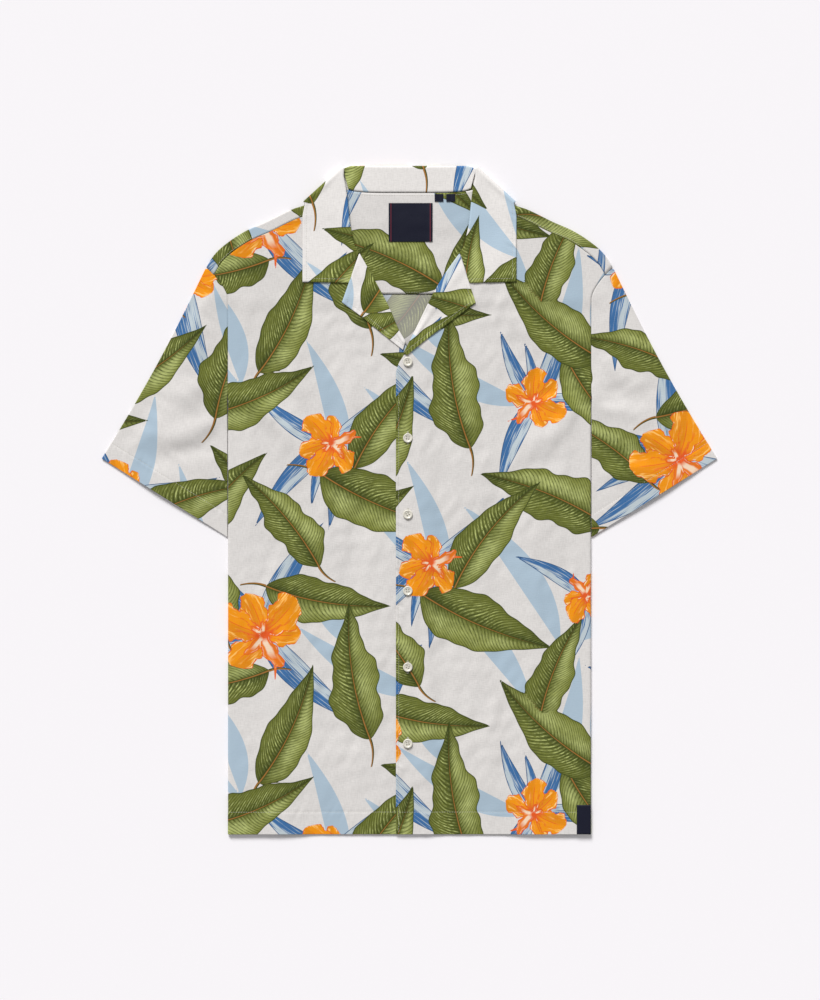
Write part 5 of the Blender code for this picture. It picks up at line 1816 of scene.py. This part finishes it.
class SHIRT_OT_collar(bpy.types.Operator):
    """Folds the camp collar and both lapels open"""

    bl_idname = "shirt.collar"
    bl_label = "Collar and lapels"

    def execute(self, context):
        look, lie, sewn = start_step(context)
        both = [look["faced"], look["faced"]]
        fronts = ["front_left_cloth", "front_right_cloth"]
        piece, area = make_collar(lie, both)
        outline = [CORNER_FOLD_END, LEAF_EDGE, COLLAR_POINT, (NOTCH[0] + 1, NOTCH[1])]
        rows = [beside(np.array(outline) * [side, 1], -side * COLLAR_STITCH) for side in (-1, 1)]
        thread = sewn("collar_stitches", piece, rows)
        settle(piece, "collar", area)
        for hand, side, roll, edge, height, front in (
            ("left", -1, (LAPEL_START["left"], *ROLL_LEFT[2:]), LAPEL_LEFT, lie.front, fronts[0]),
            ("right", 1, (LAPEL_START["right"], *ROLL_RIGHT[2:]), LAPEL_RIGHT, lie.right, fronts[1]),
        ):
            piece, area = make_lapel(f"lapel_{hand}_cloth", side, roll, edge, height, lie, both)
            row = beside([*edge, (NOTCH[0] * side, NOTCH[1])], side * COLLAR_STITCH)
            thread = sewn(f"lapel_{hand}_stitches", piece, [row])
            settle(piece, f"lapel_{hand}", area)
        return {"FINISHED"}


class SHIRT_OT_buttons(bpy.types.Operator):
    """Sews on six four-hole buttons"""

    bl_idname = "shirt.buttons"
    bl_label = "Buttons"

    def execute(self, context):
        look, lie, _ = start_step(context)
        made = [make_button(number, lie.right, look["button"]) for number in range(1, BUTTON_COUNT + 1)]
        spots, ways = (np.concatenate(parts) for parts in zip(*made))
        upward = np.tile([0.0, 0.0, 1.0], (len(spots), 1))
        length, width = 2 * HOLE_APART + THREAD_OVER, 1.25 * lie.thread
        stitches("button_thread", spots, ways, upward, length, width, look["thread"])
        return {"FINISHED"}


class SHIRT_OT_labels(bpy.types.Operator):
    """Lays the bare woven labels in the neck and at the side"""

    bl_idname = "shirt.labels"
    bl_label = "Labels"

    def execute(self, context):
        look, lie, sewn = start_step(context)
        label = make_label("neck_label_cloth", "neck_label", LABEL_X, LABEL_Y, lie.lining, look["label"])
        (x0, x1), (y0, y1) = LABEL_X, LABEL_Y
        outline = np.array([(x0, y0), (x1, y0), (x1, y1), (x0, y1), (x0, y0)])
        inward = np.sign(np.array([(x0 + x1) / 2, (y0 + y1) / 2]) - outline)
        rows = [outline + LABEL_STITCH * inward]
        sewn("neck_label_stitches", label, rows, look=look["label"], pitch=0.8 * lie.stitch)
        for number, xs in enumerate(SIZE_TAB_X, start=1):
            node = f"neck_tab_{number}"
            make_label(f"{node}_cloth", node, xs, SIZE_TAB_Y, lie.lining, look["label"])
        make_side_tab(lie.right, look["label"])
        return {"FINISHED"}


class SHIRT_OT_stage(bpy.types.Operator):
    """Sets the pale floor, the soft light and the camera straight above"""

    bl_idname = "shirt.stage"
    bl_label = "Stage"

    def execute(self, context):
        scene = context.scene
        corners = [(x * FLOOR_HALF, y * FLOOR_HALF, FLOOR_Z) for x, y in ((-1, -1), (1, -1), (1, 1), (-1, 1))]
        new_object("floor", corners, [(0, 1, 2, 3)], [materials()["paper"]])
        world = bpy.data.worlds.new("soft studio")
        scene.world = world
        world.use_nodes = True
        sky = world.node_tree.nodes["Background"]
        sky.inputs["Color"].default_value = (1.0, 1.0, 1.0, 1.0)
        sky.inputs["Strength"].default_value = SKY_STRENGTH
        lamp = bpy.data.lights.new("soft key light", "SUN")
        lamp.energy, lamp.angle = SUN_STRENGTH, math.radians(SUN_WIDE)
        lens = bpy.data.cameras.new("camera")
        lens.sensor_width = SENSOR_TALL
        lens.lens = SENSOR_TALL * CAMERA_Z / SEEN_TALL
        key, camera = (bpy.data.objects.new(data.name, data) for data in (lamp, lens))
        for made in (key, camera):
            scene.collection.objects.link(made)
        key.location = SUN_FROM
        key.rotation_mode = "QUATERNION"
        key.rotation_quaternion = (-key.location).to_track_quat("-Z", "Y")
        camera.location = (CAMERA_X * MM, 0.0, CAMERA_Z * MM)
        scene.camera = camera
        scene.view_settings.view_transform = "Standard"
        return {"FINISHED"}


class SHIRT_PT_sidebar(bpy.types.Panel):
    """Lists the shirt's sizes, colours and steps"""

    bl_label = "Shirt"
    bl_idname = "SHIRT_PT_sidebar"
    bl_space_type = "VIEW_3D"
    bl_region_type = "UI"
    bl_category = "Shirt"

    def draw(self, context):
        for group in (context.scene.shirt_sizes, context.scene.shirt_colours):
            box = self.layout.box()
            for name in group.__annotations__:
                box.prop(group, name)
        for step in STEPS:
            self.layout.operator(step.bl_idname)


STEPS = (
    SHIRT_OT_stage,
    SHIRT_OT_back,
    SHIRT_OT_yoke,
    SHIRT_OT_fronts,
    SHIRT_OT_sleeves,
    SHIRT_OT_collar,
    SHIRT_OT_buttons,
    SHIRT_OT_labels,
)
CLASSES = (ShirtSizes, ShirtColours, *STEPS, SHIRT_PT_sidebar)


def register():
    for kind in CLASSES:
        bpy.utils.register_class(kind)
    bpy.types.Scene.shirt_sizes = bpy.props.PointerProperty(type=ShirtSizes)
    bpy.types.Scene.shirt_colours = bpy.props.PointerProperty(type=ShirtColours)


def unregister():
    del bpy.types.Scene.shirt_sizes
    del bpy.types.Scene.shirt_colours
    for kind in reversed(CLASSES):
        bpy.utils.unregister_class(kind)


def main():
    """Builds every piece in order."""
    register()
    bpy.ops.shirt.stage()
    bpy.ops.shirt.back()
    bpy.ops.shirt.yoke()
    bpy.ops.shirt.fronts()
    bpy.ops.shirt.sleeves()
    bpy.ops.shirt.collar()
    bpy.ops.shirt.buttons()
    bpy.ops.shirt.labels()


if __name__ == "__main__":
    main()
